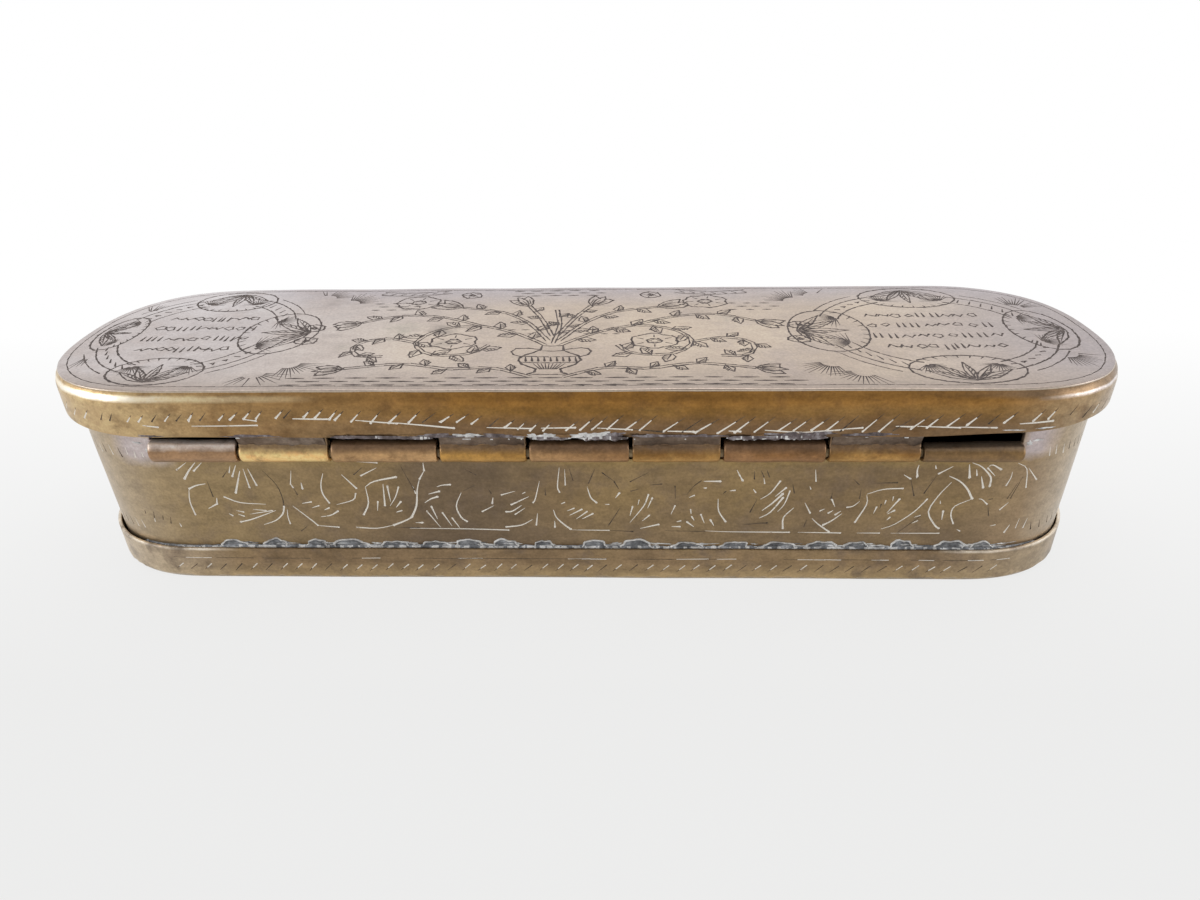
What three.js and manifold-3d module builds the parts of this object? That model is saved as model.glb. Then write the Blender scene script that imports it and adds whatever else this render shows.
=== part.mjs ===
// A long oval tobacco box of sheet metal: a brass wall on a rimmed copper base, and a copper-topped lid
// with a deep brass skirt that turns on a hinge of short tubes along one long side.
// Millimetres. X runs along the hinge, +Y from the hinge to the opening side, +Z up from the base.

import * as THREE from 'three';
import { mergeVertices } from 'three/addons/utils/BufferGeometryUtils.js';
import Module from 'manifold-3d';

// Overall size, which is the lid's outline and the height to its top
const LENGTH = 165;
const WIDTH = 45.2;
const HEIGHT = 34.2;

// The ends are half superellipses: a power of 2 is round, and more is squarer
const END_POWER = 2.5;
const END_STEPS = 28;

// Lid: a flat plate on the inturned shoulder of a deep skirt
const LID_PLATE_SHEET = 0.6;
const LID_PLATE_BEVEL = 0.2;
const SKIRT_SHEET = 0.8;
const SKIRT_HEIGHT = 7.3;
const SHOULDER_INSET = 0.7;
const SHOULDER_DROP = 1.6;
const SHOULDER_STEPS = 4;

// Body wall, which tapers a little towards the base
const WALL_SHEET = 0.7;
const WALL_TAPER = 0.45;
const LID_SIDE_CLEARANCE = 1;
const LID_REST_CLEARANCE = 0.5;

// Base: a plate inside an upright rim, with solder between the rim and the wall on both long sides
const BASE_SHEET = 0.7;
const BASE_PLATE_GAP = 0.05;
const RIM_SHEET = 0.5;
const RIM_HEIGHT = 5.9;
const RIM_GAP = 0.4;
const RIM_CORNER = 0.45;
const SOLDER_DEPTH = 3;
const SOLDER_RISE = 1;
const SOLDER_END_MARGIN = 2.5;
const SOLDER_GAP = 0.05;

// Hinge: knuckles of the body and the lid in turn on one pin, each with a leaf that is soldered inside.
// The knuckles are cut by hand, so each has its own share of the length that the gaps leave.
const HINGE_END_MARGIN = 18.6;
const KNUCKLE_SHARES = [13.1, 13.2, 15.5, 12.6, 14.5, 12.7, 14.6, 13, 14.2];
const KNUCKLE_GAP = 0.55;
const HINGE_SHIFT = 0.7;
const KNUCKLE_RADIUS = 1.55;
const KNUCKLE_SHEET = 0.65;
const KNUCKLE_SIDES = 20;
const ARC_STEPS = 3;
const HINGE_DROP = 3.25;
const PIN_CLEARANCE = 0.07;
const PIN_OVERHANG = 0.3;
const LEAF_SHEET = 0.6;
const LID_LEAF_HEIGHT = 3;
const BODY_LEAF_HEIGHT = 4;
const NOTCH_CLEARANCE = 0.1;
const NOTCH_END_GAP = 0.45;
const LID_SOLDER_SETBACK = 0.1;
const LEAF_END_MARGIN = 0.3;

// Sizes that follow. A reach is half of the oval's width at one level, and also the depth of its ends.
const LID_REACH = WIDTH / 2;
const STRAIGHT = (LENGTH - WIDTH) / 2;
const PLATE_BOTTOM = HEIGHT - LID_PLATE_SHEET;
const SKIRT_BOTTOM = HEIGHT - SKIRT_HEIGHT;
const SKIRT_INNER = LID_REACH - SKIRT_SHEET;
const WALL_BOTTOM = BASE_SHEET;
const WALL_TOP = PLATE_BOTTOM - LID_REST_CLEARANCE;
const WALL_TOP_REACH = SKIRT_INNER - LID_SIDE_CLEARANCE;
const WALL_FOOT_REACH = WALL_TOP_REACH - WALL_TAPER;
const RIM_INNER = WALL_FOOT_REACH + RIM_GAP;
const RIM_REACH = RIM_INNER + RIM_SHEET;
const HINGE_Y = KNUCKLE_RADIUS - LID_REACH;
const HINGE_Z = SKIRT_BOTTOM - HINGE_DROP;
const BORE_RADIUS = KNUCKLE_RADIUS - KNUCKLE_SHEET;
const PIN_RADIUS = BORE_RADIUS - PIN_CLEARANCE;
const HINGE_LENGTH = LENGTH - 2 * HINGE_END_MARGIN;
const KNUCKLES_LENGTH = HINGE_LENGTH - KNUCKLE_GAP * (KNUCKLE_SHARES.length - 1);
const KNUCKLE_SHARES_SUM = KNUCKLE_SHARES.reduce((sum, share) => sum + share);
const HINGE_START = HINGE_SHIFT - HINGE_LENGTH / 2;
const NOTCH_FLOOR = HINGE_Z - KNUCKLE_RADIUS - NOTCH_CLEARANCE;
const LEAF_LIMIT = STRAIGHT - LEAF_END_MARGIN;

const COPPER = new THREE.MeshStandardMaterial({ color: 0xa58578, roughness: 0.38, metalness: 0.9 });
const BRASS = new THREE.MeshStandardMaterial({ color: 0x9a7a48, roughness: 0.4, metalness: 0.9 });
const KNUCKLE_BRASS = new THREE.MeshStandardMaterial({ color: 0xb08a52, roughness: 0.35, metalness: 0.9 });
const SOLDER = new THREE.MeshStandardMaterial({ color: 0x8f8f92, roughness: 0.55, metalness: 0.8 });

const wasm = await Module();
wasm.setup();

// Half the width of the body wall's outer face at a height
function wallReach(z) {
  const rise = (z - WALL_BOTTOM) / (WALL_TOP - WALL_BOTTOM);
  return WALL_FOOT_REACH + WALL_TAPER * rise;
}

// One step round the oval: which end it belongs to, and the direction from that end's centre for a reach of 1
function ovalRay(step) {
  const side = step <= END_STEPS ? 1 : -1;
  const stepsIntoEnd = side > 0 ? step : step - END_STEPS - 1;
  const angle = (stepsIntoEnd / END_STEPS - 0.5) * Math.PI;
  const across = Math.cos(angle);
  const along = Math.sin(angle);
  const size = (Math.abs(across) ** END_POWER + Math.abs(along) ** END_POWER) ** (-1 / END_POWER);
  return { shift: side * STRAIGHT, x: side * across * size, y: side * along * size };
}

const OVAL = Array.from({ length: 2 * END_STEPS + 2 }, (_, step) => ovalRay(step));

// A section that follows the oval: a turned ring whose round steps are moved onto the oval.
// The section's points are [reach, z], in order round it, and the first comes again at the end.
function ovalRing(section) {
  const points = [...section, section[0]].map(([reach, z]) => new THREE.Vector2(reach, z));
  const ring = new THREE.LatheGeometry(points, OVAL.length);
  const position = ring.getAttribute('position');
  for (let index = 0; index < position.count; index += 1) {
    const ray = OVAL[Math.floor(index / points.length) % OVAL.length];
    const { x: reach, y: z } = points[index % points.length];
    position.setXYZ(index, ray.shift + reach * ray.x, reach * ray.y, z);
  }
  return facingOut(bare(ring));
}

// The oval as a flat outline, for plates
function ovalShape(reach) {
  return new THREE.Shape(OVAL.map((ray) => new THREE.Vector2(ray.shift + reach * ray.x, reach * ray.y)));
}

// Only the places of the corners, with the shared ones merged
function bare(geometry) {
  geometry.deleteAttribute('normal');
  geometry.deleteAttribute('uv');
  return mergeVertices(geometry, 1e-4);
}

function signedVolume(geometry) {
  const position = geometry.getAttribute('position');
  const [a, b, c] = [0, 1, 2].map(() => new THREE.Vector3());
  let sum = 0;
  for (let corner = 0; corner < geometry.index.count; corner += 3) {
    a.fromBufferAttribute(position, geometry.index.getX(corner));
    b.fromBufferAttribute(position, geometry.index.getX(corner + 1));
    c.fromBufferAttribute(position, geometry.index.getX(corner + 2));
    sum += a.dot(b.cross(c)) / 6;
  }
  return sum;
}

// A ring whose section runs the other way round is turned inside out
function facingOut(geometry) {
  if (signedVolume(geometry) < 0) geometry.setIndex(Array.from(geometry.index.array).reverse());
  return geometry;
}

function solid(geometry) {
  return new wasm.Manifold(new wasm.Mesh({
    numProp: 3,
    vertProperties: geometry.getAttribute('position').array,
    triVerts: new Uint32Array(geometry.index.array),
  }));
}

function geometryOf(manifold) {
  const mesh = manifold.getMesh();
  const geometry = new THREE.BufferGeometry();
  geometry.setAttribute('position', new THREE.BufferAttribute(mesh.vertProperties, 3));
  geometry.setIndex(new THREE.BufferAttribute(mesh.triVerts, 1));
  geometry.computeVertexNormals();
  return geometry;
}

// A Y-Z section drawn out along X. A shape's own x and y stand for Y and Z here.
function bar(shape, from, to) {
  const drawn = new THREE.ExtrudeGeometry(shape, {
    depth: to - from, bevelEnabled: false, curveSegments: ARC_STEPS,
  });
  drawn.applyMatrix4(new THREE.Matrix4().makeBasis(
    new THREE.Vector3(0, 1, 0), new THREE.Vector3(0, 0, 1), new THREE.Vector3(1, 0, 0),
  ));
  return bare(drawn.translate(from, 0, 0));
}

function section(points) {
  return new THREE.Shape(points.map(([y, z]) => new THREE.Vector2(y, z)));
}

// A regular polygon round the hinge axis
function roundSection(radius) {
  const sides = Array.from({ length: KNUCKLE_SIDES }, (_, side) => (2 * Math.PI * side) / KNUCKLE_SIDES);
  return section(sides.map((turn) => [HINGE_Y + radius * Math.cos(turn), HINGE_Z + radius * Math.sin(turn)]));
}

// Lid plate, with its upper edge taken off all round
function lidPlate() {
  const reach = LID_REACH - SHOULDER_INSET;
  const plate = new THREE.ExtrudeGeometry(ovalShape(reach - LID_PLATE_BEVEL), {
    depth: LID_PLATE_SHEET - LID_PLATE_BEVEL, bevelThickness: LID_PLATE_BEVEL, bevelSize: LID_PLATE_BEVEL,
    bevelSegments: 1,
  });
  const sized = solid(bare(plate.translate(0, 0, PLATE_BOTTOM)));
  const below = new THREE.BoxGeometry(2 * LENGTH, 2 * WIDTH, 2 * HEIGHT).translate(0, 0, PLATE_BOTTOM - HEIGHT);
  return geometryOf(sized.subtract(solid(bare(below))));
}

// Lid skirt, with a rounded shoulder that the plate lies on
function lidSkirt() {
  const shoulder = Array.from({ length: SHOULDER_STEPS + 1 }, (_, step) => {
    const turn = (step / SHOULDER_STEPS) * (Math.PI / 2);
    return [
      LID_REACH - SHOULDER_INSET * (1 - Math.cos(turn)),
      PLATE_BOTTOM - SHOULDER_DROP * (1 - Math.sin(turn)),
    ];
  });
  const ledge = SKIRT_INNER - SHOULDER_INSET;
  return ovalRing([
    [SKIRT_INNER, SKIRT_BOTTOM], [LID_REACH, SKIRT_BOTTOM], ...shoulder,
    [ledge, PLATE_BOTTOM], [ledge, PLATE_BOTTOM - SKIRT_SHEET],
    [SKIRT_INNER, PLATE_BOTTOM - SHOULDER_DROP],
  ]);
}

// Body wall: one band, let down on the hinge side so that the knuckles lie in its edge
function bodyWall() {
  const band = solid(ovalRing([
    [wallReach(WALL_BOTTOM) - WALL_SHEET, WALL_BOTTOM], [wallReach(WALL_BOTTOM), WALL_BOTTOM],
    [wallReach(WALL_TOP), WALL_TOP], [wallReach(WALL_TOP) - WALL_SHEET, WALL_TOP],
  ]));
  const notchLength = HINGE_LENGTH + 2 * NOTCH_END_GAP;
  const notch = new THREE.BoxGeometry(notchLength, WIDTH, HEIGHT);
  notch.translate(HINGE_SHIFT, HINGE_Y, NOTCH_FLOOR + HEIGHT / 2);
  const hingeSide = new THREE.BoxGeometry(LENGTH, WIDTH, 2 * HEIGHT).translate(0, -WIDTH / 2, 0);
  return geometryOf(band.subtract(solid(bare(notch)).intersect(solid(bare(hingeSide)))));
}

function basePlate() {
  const plate = new THREE.ExtrudeGeometry(ovalShape(RIM_INNER - BASE_PLATE_GAP), {
    depth: BASE_SHEET, bevelEnabled: false,
  });
  return bare(plate);
}

// Base rim: an upright band round the plate and clear of the wall
function baseRim() {
  return ovalRing([
    [RIM_INNER, 0], [RIM_REACH - RIM_CORNER, 0], [RIM_REACH, RIM_CORNER],
    [RIM_REACH, RIM_HEIGHT], [RIM_INNER, RIM_HEIGHT],
  ]);
}

// Solder between the wall and the rim of one long side, which stands above the rim as a bead
function footSolder(side) {
  const low = RIM_HEIGHT - SOLDER_DEPTH;
  const high = RIM_HEIGHT + SOLDER_RISE;
  const bead = [
    [wallReach(low) + SOLDER_GAP, low], [RIM_INNER - SOLDER_GAP, low],
    [RIM_INNER - SOLDER_GAP, RIM_HEIGHT], [wallReach(high) + SOLDER_GAP, high],
  ].map(([reach, z]) => [side * reach, z]);
  const end = STRAIGHT - SOLDER_END_MARGIN;
  return bar(section(bead), -end, end);
}

// A tube of the hinge, with a leaf of the section given, bored through for the pin
function knuckle(from, to, leaf) {
  const tube = solid(bar(roundSection(KNUCKLE_RADIUS), from, to));
  const leafSolid = solid(bar(leaf, Math.max(from, -LEAF_LIMIT), Math.min(to, LEAF_LIMIT)));
  const bore = solid(bar(roundSection(BORE_RADIUS), from - KNUCKLE_GAP, to + KNUCKLE_GAP));
  return geometryOf(tube.add(leafSolid).subtract(bore));
}

// The body's leaf hangs down the inner face of the wall, and the lid's stands up the inner face of the skirt
function bodyLeaf() {
  const low = NOTCH_FLOOR - BODY_LEAF_HEIGHT;
  const inner = (z) => WALL_SHEET - wallReach(z);
  const high = HINGE_Z - BORE_RADIUS;
  return section([
    [inner(low), low], [inner(low) + LEAF_SHEET, low], [inner(high) + LEAF_SHEET, high], [inner(high), high],
  ]);
}

function lidLeaf() {
  const high = SKIRT_BOTTOM + LID_LEAF_HEIGHT;
  return section([
    [-SKIRT_INNER, HINGE_Z + BORE_RADIUS], [LEAF_SHEET - SKIRT_INNER, HINGE_Z + BORE_RADIUS],
    [LEAF_SHEET - SKIRT_INNER, high], [-SKIRT_INNER, high],
  ]);
}

// Solder that fills the corner between the skirt's lower edge, a lid leaf and its tube
function lidSolder(from, to) {
  const radius = KNUCKLE_RADIUS + SOLDER_GAP;
  const front = KNUCKLE_RADIUS - LID_SOLDER_SETBACK;
  const back = -SKIRT_INNER - HINGE_Y;
  const shape = new THREE.Shape();
  shape.moveTo(-SKIRT_INNER, SKIRT_BOTTOM);
  shape.lineTo(HINGE_Y - front, SKIRT_BOTTOM);
  shape.absarc(HINGE_Y, HINGE_Z, radius, Math.acos(-front / radius), Math.acos(back / radius), true);
  shape.closePath();
  return bar(shape, from, to);
}

const box = new THREE.Group();

function add(name, geometry, material) {
  const mesh = new THREE.Mesh(geometry, material);
  mesh.name = name;
  box.add(mesh);
}

add('lid_top_plate', lidPlate(), COPPER);
add('lid_skirt', lidSkirt(), BRASS);
add('body_wall', bodyWall(), BRASS);
add('base_plate', basePlate(), COPPER);
add('base_rim', baseRim(), BRASS);
add('foot_solder_hinge_side', footSolder(-1), SOLDER);
add('foot_solder_opening_side', footSolder(1), SOLDER);

// Knuckles in turn from the left: the odd ones belong to the body and the even ones to the lid
let start = HINGE_START;
KNUCKLE_SHARES.forEach((share, index) => {
  const end = start + (KNUCKLES_LENGTH * share) / KNUCKLE_SHARES_SUM;
  if (index % 2 === 0) {
    add(`body_knuckle_${index + 1}`, knuckle(start, end, bodyLeaf()), KNUCKLE_BRASS);
  } else {
    add(`lid_knuckle_${index + 1}`, knuckle(start, end, lidLeaf()), KNUCKLE_BRASS);
    add(`lid_solder_${index + 1}`, lidSolder(start, end), SOLDER);
  }
  start = end + KNUCKLE_GAP;
});

const pinStart = HINGE_START - PIN_OVERHANG;
add('hinge_pin', bar(roundSection(PIN_RADIUS), pinStart, pinStart + HINGE_LENGTH + 2 * PIN_OVERHANG), BRASS);

export default box;
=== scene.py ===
"""Dresses a long oval tobacco box: engraved copper and brass sheet, a hinge of tubes, and grey solder."""

import math
import random

import bpy
import numpy as np
from mathutils import Matrix, Vector, noise
from mathutils.geometry import delaunay_2d_cdt


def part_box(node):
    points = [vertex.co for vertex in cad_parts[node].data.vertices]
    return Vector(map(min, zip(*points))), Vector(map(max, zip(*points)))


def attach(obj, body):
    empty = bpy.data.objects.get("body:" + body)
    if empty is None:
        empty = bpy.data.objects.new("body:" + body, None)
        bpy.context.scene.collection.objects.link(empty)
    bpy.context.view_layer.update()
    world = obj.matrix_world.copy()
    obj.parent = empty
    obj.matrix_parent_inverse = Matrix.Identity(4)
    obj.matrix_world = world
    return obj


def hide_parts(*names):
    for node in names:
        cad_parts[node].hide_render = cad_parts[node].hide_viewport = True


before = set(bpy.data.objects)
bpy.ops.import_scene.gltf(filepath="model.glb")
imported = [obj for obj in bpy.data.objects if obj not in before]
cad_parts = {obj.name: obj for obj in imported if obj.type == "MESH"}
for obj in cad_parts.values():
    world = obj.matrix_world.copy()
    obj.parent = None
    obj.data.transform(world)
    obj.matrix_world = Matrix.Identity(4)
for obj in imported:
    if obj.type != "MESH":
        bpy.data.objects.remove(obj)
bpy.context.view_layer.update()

# Shapes are worked out in millimetres and turned into metres when a mesh is made
MM = 0.001

# The ends of the oval are half superellipses of this power
END_POWER = 2.5
END_TABLE_STEPS = 400


def node_box(node):
    """Lowest and highest corner of a CAD node in millimetres."""
    low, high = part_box(node)
    return np.array(low) / MM, np.array(high) / MM


# Levels and reaches, from the frame. A reach is half of the oval's width and the depth of its ends.
PLATE_LOW, PLATE_HIGH = node_box("lid_top_plate")
SKIRT_LOW, SKIRT_HIGH = node_box("lid_skirt")
WALL_LOW, WALL_HIGH = node_box("body_wall")
RIM_LOW, RIM_HIGH = node_box("base_rim")
BASE_LOW, BASE_HIGH = node_box("base_plate")
PIN_LOW, PIN_HIGH = node_box("hinge_pin")
LID_REACH = SKIRT_HIGH[1]
PLATE_REACH = PLATE_HIGH[1]
WALL_REACH = WALL_HIGH[1]
RIM_REACH = RIM_HIGH[1]
BASE_REACH = BASE_HIGH[1]
STRAIGHT = SKIRT_HIGH[0] - LID_REACH

# The hinge: its axis, and the two ends along X of each knuckle from the left
HINGE_Y = (PIN_LOW[1] + PIN_HIGH[1]) / 2
HINGE_Z = (PIN_LOW[2] + PIN_HIGH[2]) / 2
PIN_RADIUS = (PIN_HIGH[2] - PIN_LOW[2]) / 2
TUBE_RADIUS = HINGE_Y + LID_REACH
KNUCKLES = []
for index in range(1, 10):
    owner = "body" if index % 2 else "lid"
    low, high = node_box(f"{owner}_knuckle_{index}")
    KNUCKLES.append((f"{owner}_knuckle_{index}", low, high))
HINGE_START = KNUCKLES[0][1][0]
HINGE_END = KNUCKLES[-1][2][0]

# Sheet sizes that the boxes of the nodes don't give
SKIRT_SHEET = 0.8
WALL_SHEET = 0.7
WALL_TAPER = 0.45
RIM_SHEET = 0.5
TUBE_SHEET = 0.65
LEAF_SHEET = 0.6
SHOULDER_DROP = 2.3
NOTCH_DROP = TUBE_RADIUS + 0.1
NOTCH_END_GAP = 0.45


# Oval tracks

def run_along(line):
    """The way from a line's first point to each of its points."""
    return np.concatenate([[0.0], np.cumsum(np.hypot(*np.diff(line, axis=0).T))])


class Oval:
    """The oval outline, run round by length from the middle of the hinge side towards +X."""

    def __init__(self, reach):
        ends = np.linspace(-math.pi / 2, math.pi / 2, END_TABLE_STEPS)
        across, along = np.cos(ends), np.sin(ends)
        size = (np.abs(across) ** END_POWER + np.abs(along) ** END_POWER) ** (-1 / END_POWER)
        ray_x, ray_y = across * size, along * size
        full = np.full(END_TABLE_STEPS, STRAIGHT)
        self.shift = np.concatenate([[0.0], full, -full, [0.0]])
        self.ray_x = np.concatenate([[0.0], ray_x, -ray_x, [0.0]])
        self.ray_y = np.concatenate([[-1.0], ray_y, -ray_y, [-1.0]])
        self.x = self.shift + reach * self.ray_x
        self.run = run_along(np.column_stack([self.x, reach * self.ray_y]))
        self.length = self.run[-1]
        self.half = self.length / 2

    def at(self, s):
        """Shift of the end's centre, and the ray from it, at a run s."""
        run = np.mod(s, self.length)
        return [np.interp(run, self.run, values) for values in (self.shift, self.ray_x, self.ray_y)]

    def run_at(self, x):
        """The run of a place on the hinge side, also where its end starts to turn."""
        quarter = np.argmax(self.x)
        return math.copysign(np.interp(abs(x), self.x[:quarter], self.run[:quarter]), x)

    def outward(self, s):
        """The direction that points straight out of the oval at a run s."""
        _, ray_x, ray_y = self.at(s)
        power = END_POWER - 1
        slopes = [np.sign(ray) * np.abs(ray) ** power for ray in (ray_x, ray_y)]
        return unit(np.stack([*slopes, np.zeros_like(ray_x)], axis=-1))


class Profile:
    """A section line of points (reach, z), run along by length."""

    def __init__(self, points):
        self.points = np.array(points, float)
        self.run = run_along(self.points)
        self.length = self.run[-1]

    def at(self, t):
        return np.interp(t, self.run, self.points[:, 0]), np.interp(t, self.run, self.points[:, 1])


WAVE_COUNT = 14


class Unevenness:
    """A gentle hand-made waviness: a sum of seeded waves. With a period it meets itself round an oval."""

    def __init__(self, seed, size, shortest, longest, period=None):
        rng = random.Random(seed)
        self.waves = []
        for _ in range(WAVE_COUNT):
            wave = rng.uniform(shortest, longest)
            turn = rng.uniform(0, 2 * math.pi)
            along = 2 * math.pi * math.cos(turn) / wave
            if period:
                along = 2 * math.pi * round(along * period / (2 * math.pi)) / period
            across = 2 * math.pi * math.sin(turn) / wave
            self.waves.append((along, across, rng.uniform(0, 2 * math.pi), size / math.sqrt(WAVE_COUNT)))

    def at(self, s, t):
        return sum(size * np.sin(a * s + b * t + phase) for a, b, phase, size in self.waves)


def unit(vectors):
    """The same directions with length 1."""
    return vectors / np.maximum(np.linalg.norm(vectors, axis=-1, keepdims=True), 1e-12)


def band_surface(oval, profile, waves, scale=1.0):
    """A map from (run round the oval, run along the profile) to places."""
    def place(s, t):
        shift, ray_x, ray_y = oval.at(s)
        reach, z = profile.at(np.asarray(t) * scale)
        points = np.stack([shift + reach * ray_x, reach * ray_y, z], axis=-1)
        return points + oval.outward(s) * np.asarray(waves.at(s, t))[..., None]
    return place


def plate_surface(level, waves=None):
    """A map from (x, y) to places on a flat plate."""
    def place(x, y):
        z = np.full_like(x, level)
        if waves is not None:
            z = z + waves.at(x, y)
        return np.stack([x, y, z], axis=-1)
    return place


SLOPE_STEP = 0.02


def slopes_at(place, s, t):
    """How places change along each of a sheet's own two directions."""
    step = SLOPE_STEP
    along = (place(s + step, t) - place(s - step, t)) / (2 * step)
    across = (place(s, t + step) - place(s, t - step)) / (2 * step)
    return along, across


def normals_at(place, s, t):
    return unit(np.cross(*slopes_at(place, s, t)))


# Engraving

SKIN, DARK, PALE, INNER = range(4)

# No cut comes nearer than this to the seam in the middle of the opening side
SEAM_MARGIN = 1.5
SHORTEST_CUT = 0.12
# How much a hand shakes at the ends of a cut, how much the cuts of a curve overlap, and how much
# thinner the tail of such a cut is than its head
HAND_SHAKE = 0.03
OVERLAP = 0.1
CUT_TAPER = 0.5
# A pale curve has thinner dark cuts between its pale ones
DARK_SHARE = 0.6
# Strokes from this length on have a knob for a head: its length, and how much wider it is than the stroke
KNOB_FROM = 1.0
KNOB_LENGTH = 0.3
KNOB_WIDER = 1.35


class Engraving:
    """Cuts of a graver in a sheet's own plane: each has a thin tail, a wider head and a V section."""

    def __init__(self, seed, steepness=0.75, deepest=0.16):
        self.rng = random.Random(seed)
        self.cuts = []
        self.steepness = steepness
        self.deepest = deepest

    def cut(self, a, b, tail, head, fill=DARK):
        """One straight cut from tail to head. tail and head are half widths."""
        if math.dist(a, b) > SHORTEST_CUT:
            self.cuts.append((tuple(a), tuple(b), tail, head, fill))

    def carve(self, points, width, pale=0.0, chord=1.6, closed=False):
        """A curve through points in short cuts, as a hand does it. pale is the share of pale cuts."""
        line = smooth(list(points) + ([points[0]] if closed else []))
        run = run_along(line)
        place = 0.0
        while place < run[-1] - 2 * OVERLAP:
            reach = min(place + chord * self.rng.uniform(0.75, 1.3), run[-1])
            if run[-1] - reach < chord * 0.4:
                reach = run[-1]
            a, b = ([np.interp(way, run, line[:, k]) + self.rng.gauss(0, HAND_SHAKE) for k in (0, 1)]
                    for way in (place, reach))
            is_pale = self.rng.random() < pale
            wide = width * self.rng.uniform(0.8, 1.15) * (1.0 if is_pale or not pale else DARK_SHARE)
            self.cut(a, b, wide * CUT_TAPER, wide, PALE if is_pale else DARK)
            place = reach - OVERLAP

    def stroke(self, points, width, pale=0.0, tail=0.3, knob=True, bare=0.15):
        """One stroke through points: thin and bare at its first end, with a knob of a head at the other."""
        fill = PALE if self.rng.random() < pale else DARK
        wide = width * self.rng.uniform(0.85, 1.15)
        line = smooth(points, 3)
        length = path_length(line)
        run = run_along(line) / max(1e-6, length)
        halves = wide * (tail + (1 - tail) * run ** 0.7)
        for a, b, thin, thick, place in zip(line, line[1:], halves, halves[1:], run):
            self.cut(a, b, thin, thick, DARK if place < bare else fill)
        (ax, ay), (bx, by) = line[-2:]
        if knob and length > KNOB_FROM:
            back = KNOB_LENGTH / math.hypot(bx - ax, by - ay)
            self.cut((bx - (bx - ax) * back, by - (by - ay) * back), (bx, by), wide, wide * KNOB_WIDER, fill)

    def outline(self, cut):
        """Corners of a cut's outline, in order."""
        (ax, ay), (bx, by), tail, head, _ = cut
        length = math.hypot(bx - ax, by - ay)
        ux, uy = (bx - ax) / length, (by - ay) / length
        mid = tail + (head - tail) * 0.5
        stations = [(ax, ay, tail), (ax + ux * length * 0.5, ay + uy * length * 0.5, mid), (bx, by, head)]
        right = [(x + uy * w, y - ux * w) for x, y, w in stations]
        left = [(x - uy * w, y + ux * w) for x, y, w in reversed(stations)]
        cap = head * 0.8
        return [(ax - ux * tail, ay - uy * tail), *right, (bx + ux * cap, by + uy * cap), *left]

    def depth_at(self, s, t):
        """Depth and fill at places: 0 outside of every cut, and deepest on a cut's middle line."""
        depth, fill = np.zeros_like(s), np.zeros(len(s), int)
        order = np.argsort(s)
        sorted_s = s[order]
        for (ax, ay), (bx, by), tail, head, kind in self.cuts:
            reach = max(tail, head)
            first = np.searchsorted(sorted_s, min(ax, bx) - reach)
            last = np.searchsorted(sorted_s, max(ax, bx) + reach)
            near = order[first:last]
            near = near[(t[near] > min(ay, by) - reach) & (t[near] < max(ay, by) + reach)]
            dx, dy = bx - ax, by - ay
            along = np.clip(((s[near] - ax) * dx + (t[near] - ay) * dy) / (dx * dx + dy * dy), 0, 1)
            off = np.hypot(s[near] - ax - along * dx, t[near] - ay - along * dy)
            half = tail + (head - tail) * along
            here = np.minimum(half * self.steepness, self.deepest) * np.clip(1 - off / half, 0, 1)
            deeper = here > depth[near]
            depth[near[deeper]] = here[deeper]
            fill[near[deeper]] = kind
        return depth, fill


def path_length(line):
    return float(np.hypot(*np.diff(line, axis=0).T).sum())


def smooth(points, steps=8):
    """A Catmull-Rom curve through points."""
    p = np.array(points, float)
    if len(p) < 3:
        return np.linspace(p[0], p[-1], steps + 1)
    p = np.vstack([2 * p[0] - p[1], p, 2 * p[-1] - p[-2]])
    t = np.linspace(0, 1, steps, endpoint=False)[:, None]
    spans = [
        0.5 * (2 * b + (c - a) * t + (2 * a - 5 * b + 4 * c - d) * t ** 2 + (3 * b - a - 3 * c + d) * t ** 3)
        for a, b, c, d in zip(p, p[1:], p[2:], p[3:])
    ]
    return np.vstack([*spans, p[-2:-1]])


def turned(points, angle, centre, size=1.0):
    """Points round (0, 0), turned, scaled and moved to a centre."""
    c, s = math.cos(angle) * size, math.sin(angle) * size
    return [(centre[0] + x * c - y * s, centre[1] + x * s + y * c) for x, y in points]


# Sheets

# Corners along a band's edges are this far apart, and an inner skin is this many times coarser than the
# outer one
EDGE_STEP = 1.2
INNER_COARSER = 1.6
# What is cut less deep than this still counts as skin
SHALLOWEST = 0.004
# How far a grid place is moved at most, in cells, and how far it stays from the border, in spacings
GRID_SHAKE = 0.2
BORDER_SHARE = 0.35


def grid_points(boundary, spacing, seed):
    """Slightly shifted grid places inside a boundary, which give a sheet enough corners to bend."""
    rng = random.Random(seed)
    low, high = boundary.min(0), boundary.max(0)
    columns, rows = (max(2, round(size / spacing)) for size in high - low)
    cells = [(i, j) for i in range(1, columns) for j in range(1, rows)]
    shares = np.array([[k + rng.uniform(-GRID_SHAKE, GRID_SHAKE) for k in cell] for cell in cells])
    points = low + (high - low) * (shares / (columns, rows))
    return points[inside(points, boundary, spacing * BORDER_SHARE)]


def inside(points, boundary, margin):
    """Which points lie inside a closed boundary and at least a margin from it."""
    x, y = points.T
    odd = np.zeros(len(points), bool)
    near = np.zeros(len(points), bool)
    for (ax, ay), (bx, by) in zip(boundary, np.roll(boundary, -1, axis=0)):
        dx, dy = bx - ax, by - ay
        squared = dx * dx + dy * dy
        if squared < 1e-12:
            continue
        if ay != by:
            odd ^= ((ay > y) != (by > y)) & (x < ax + (y - ay) * dx / dy)
        along = np.clip(((x - ax) * dx + (y - ay) * dy) / squared, 0, 1)
        near |= np.hypot(x - ax - along * dx, y - ay - along * dy) < margin
    return odd & ~near


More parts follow.
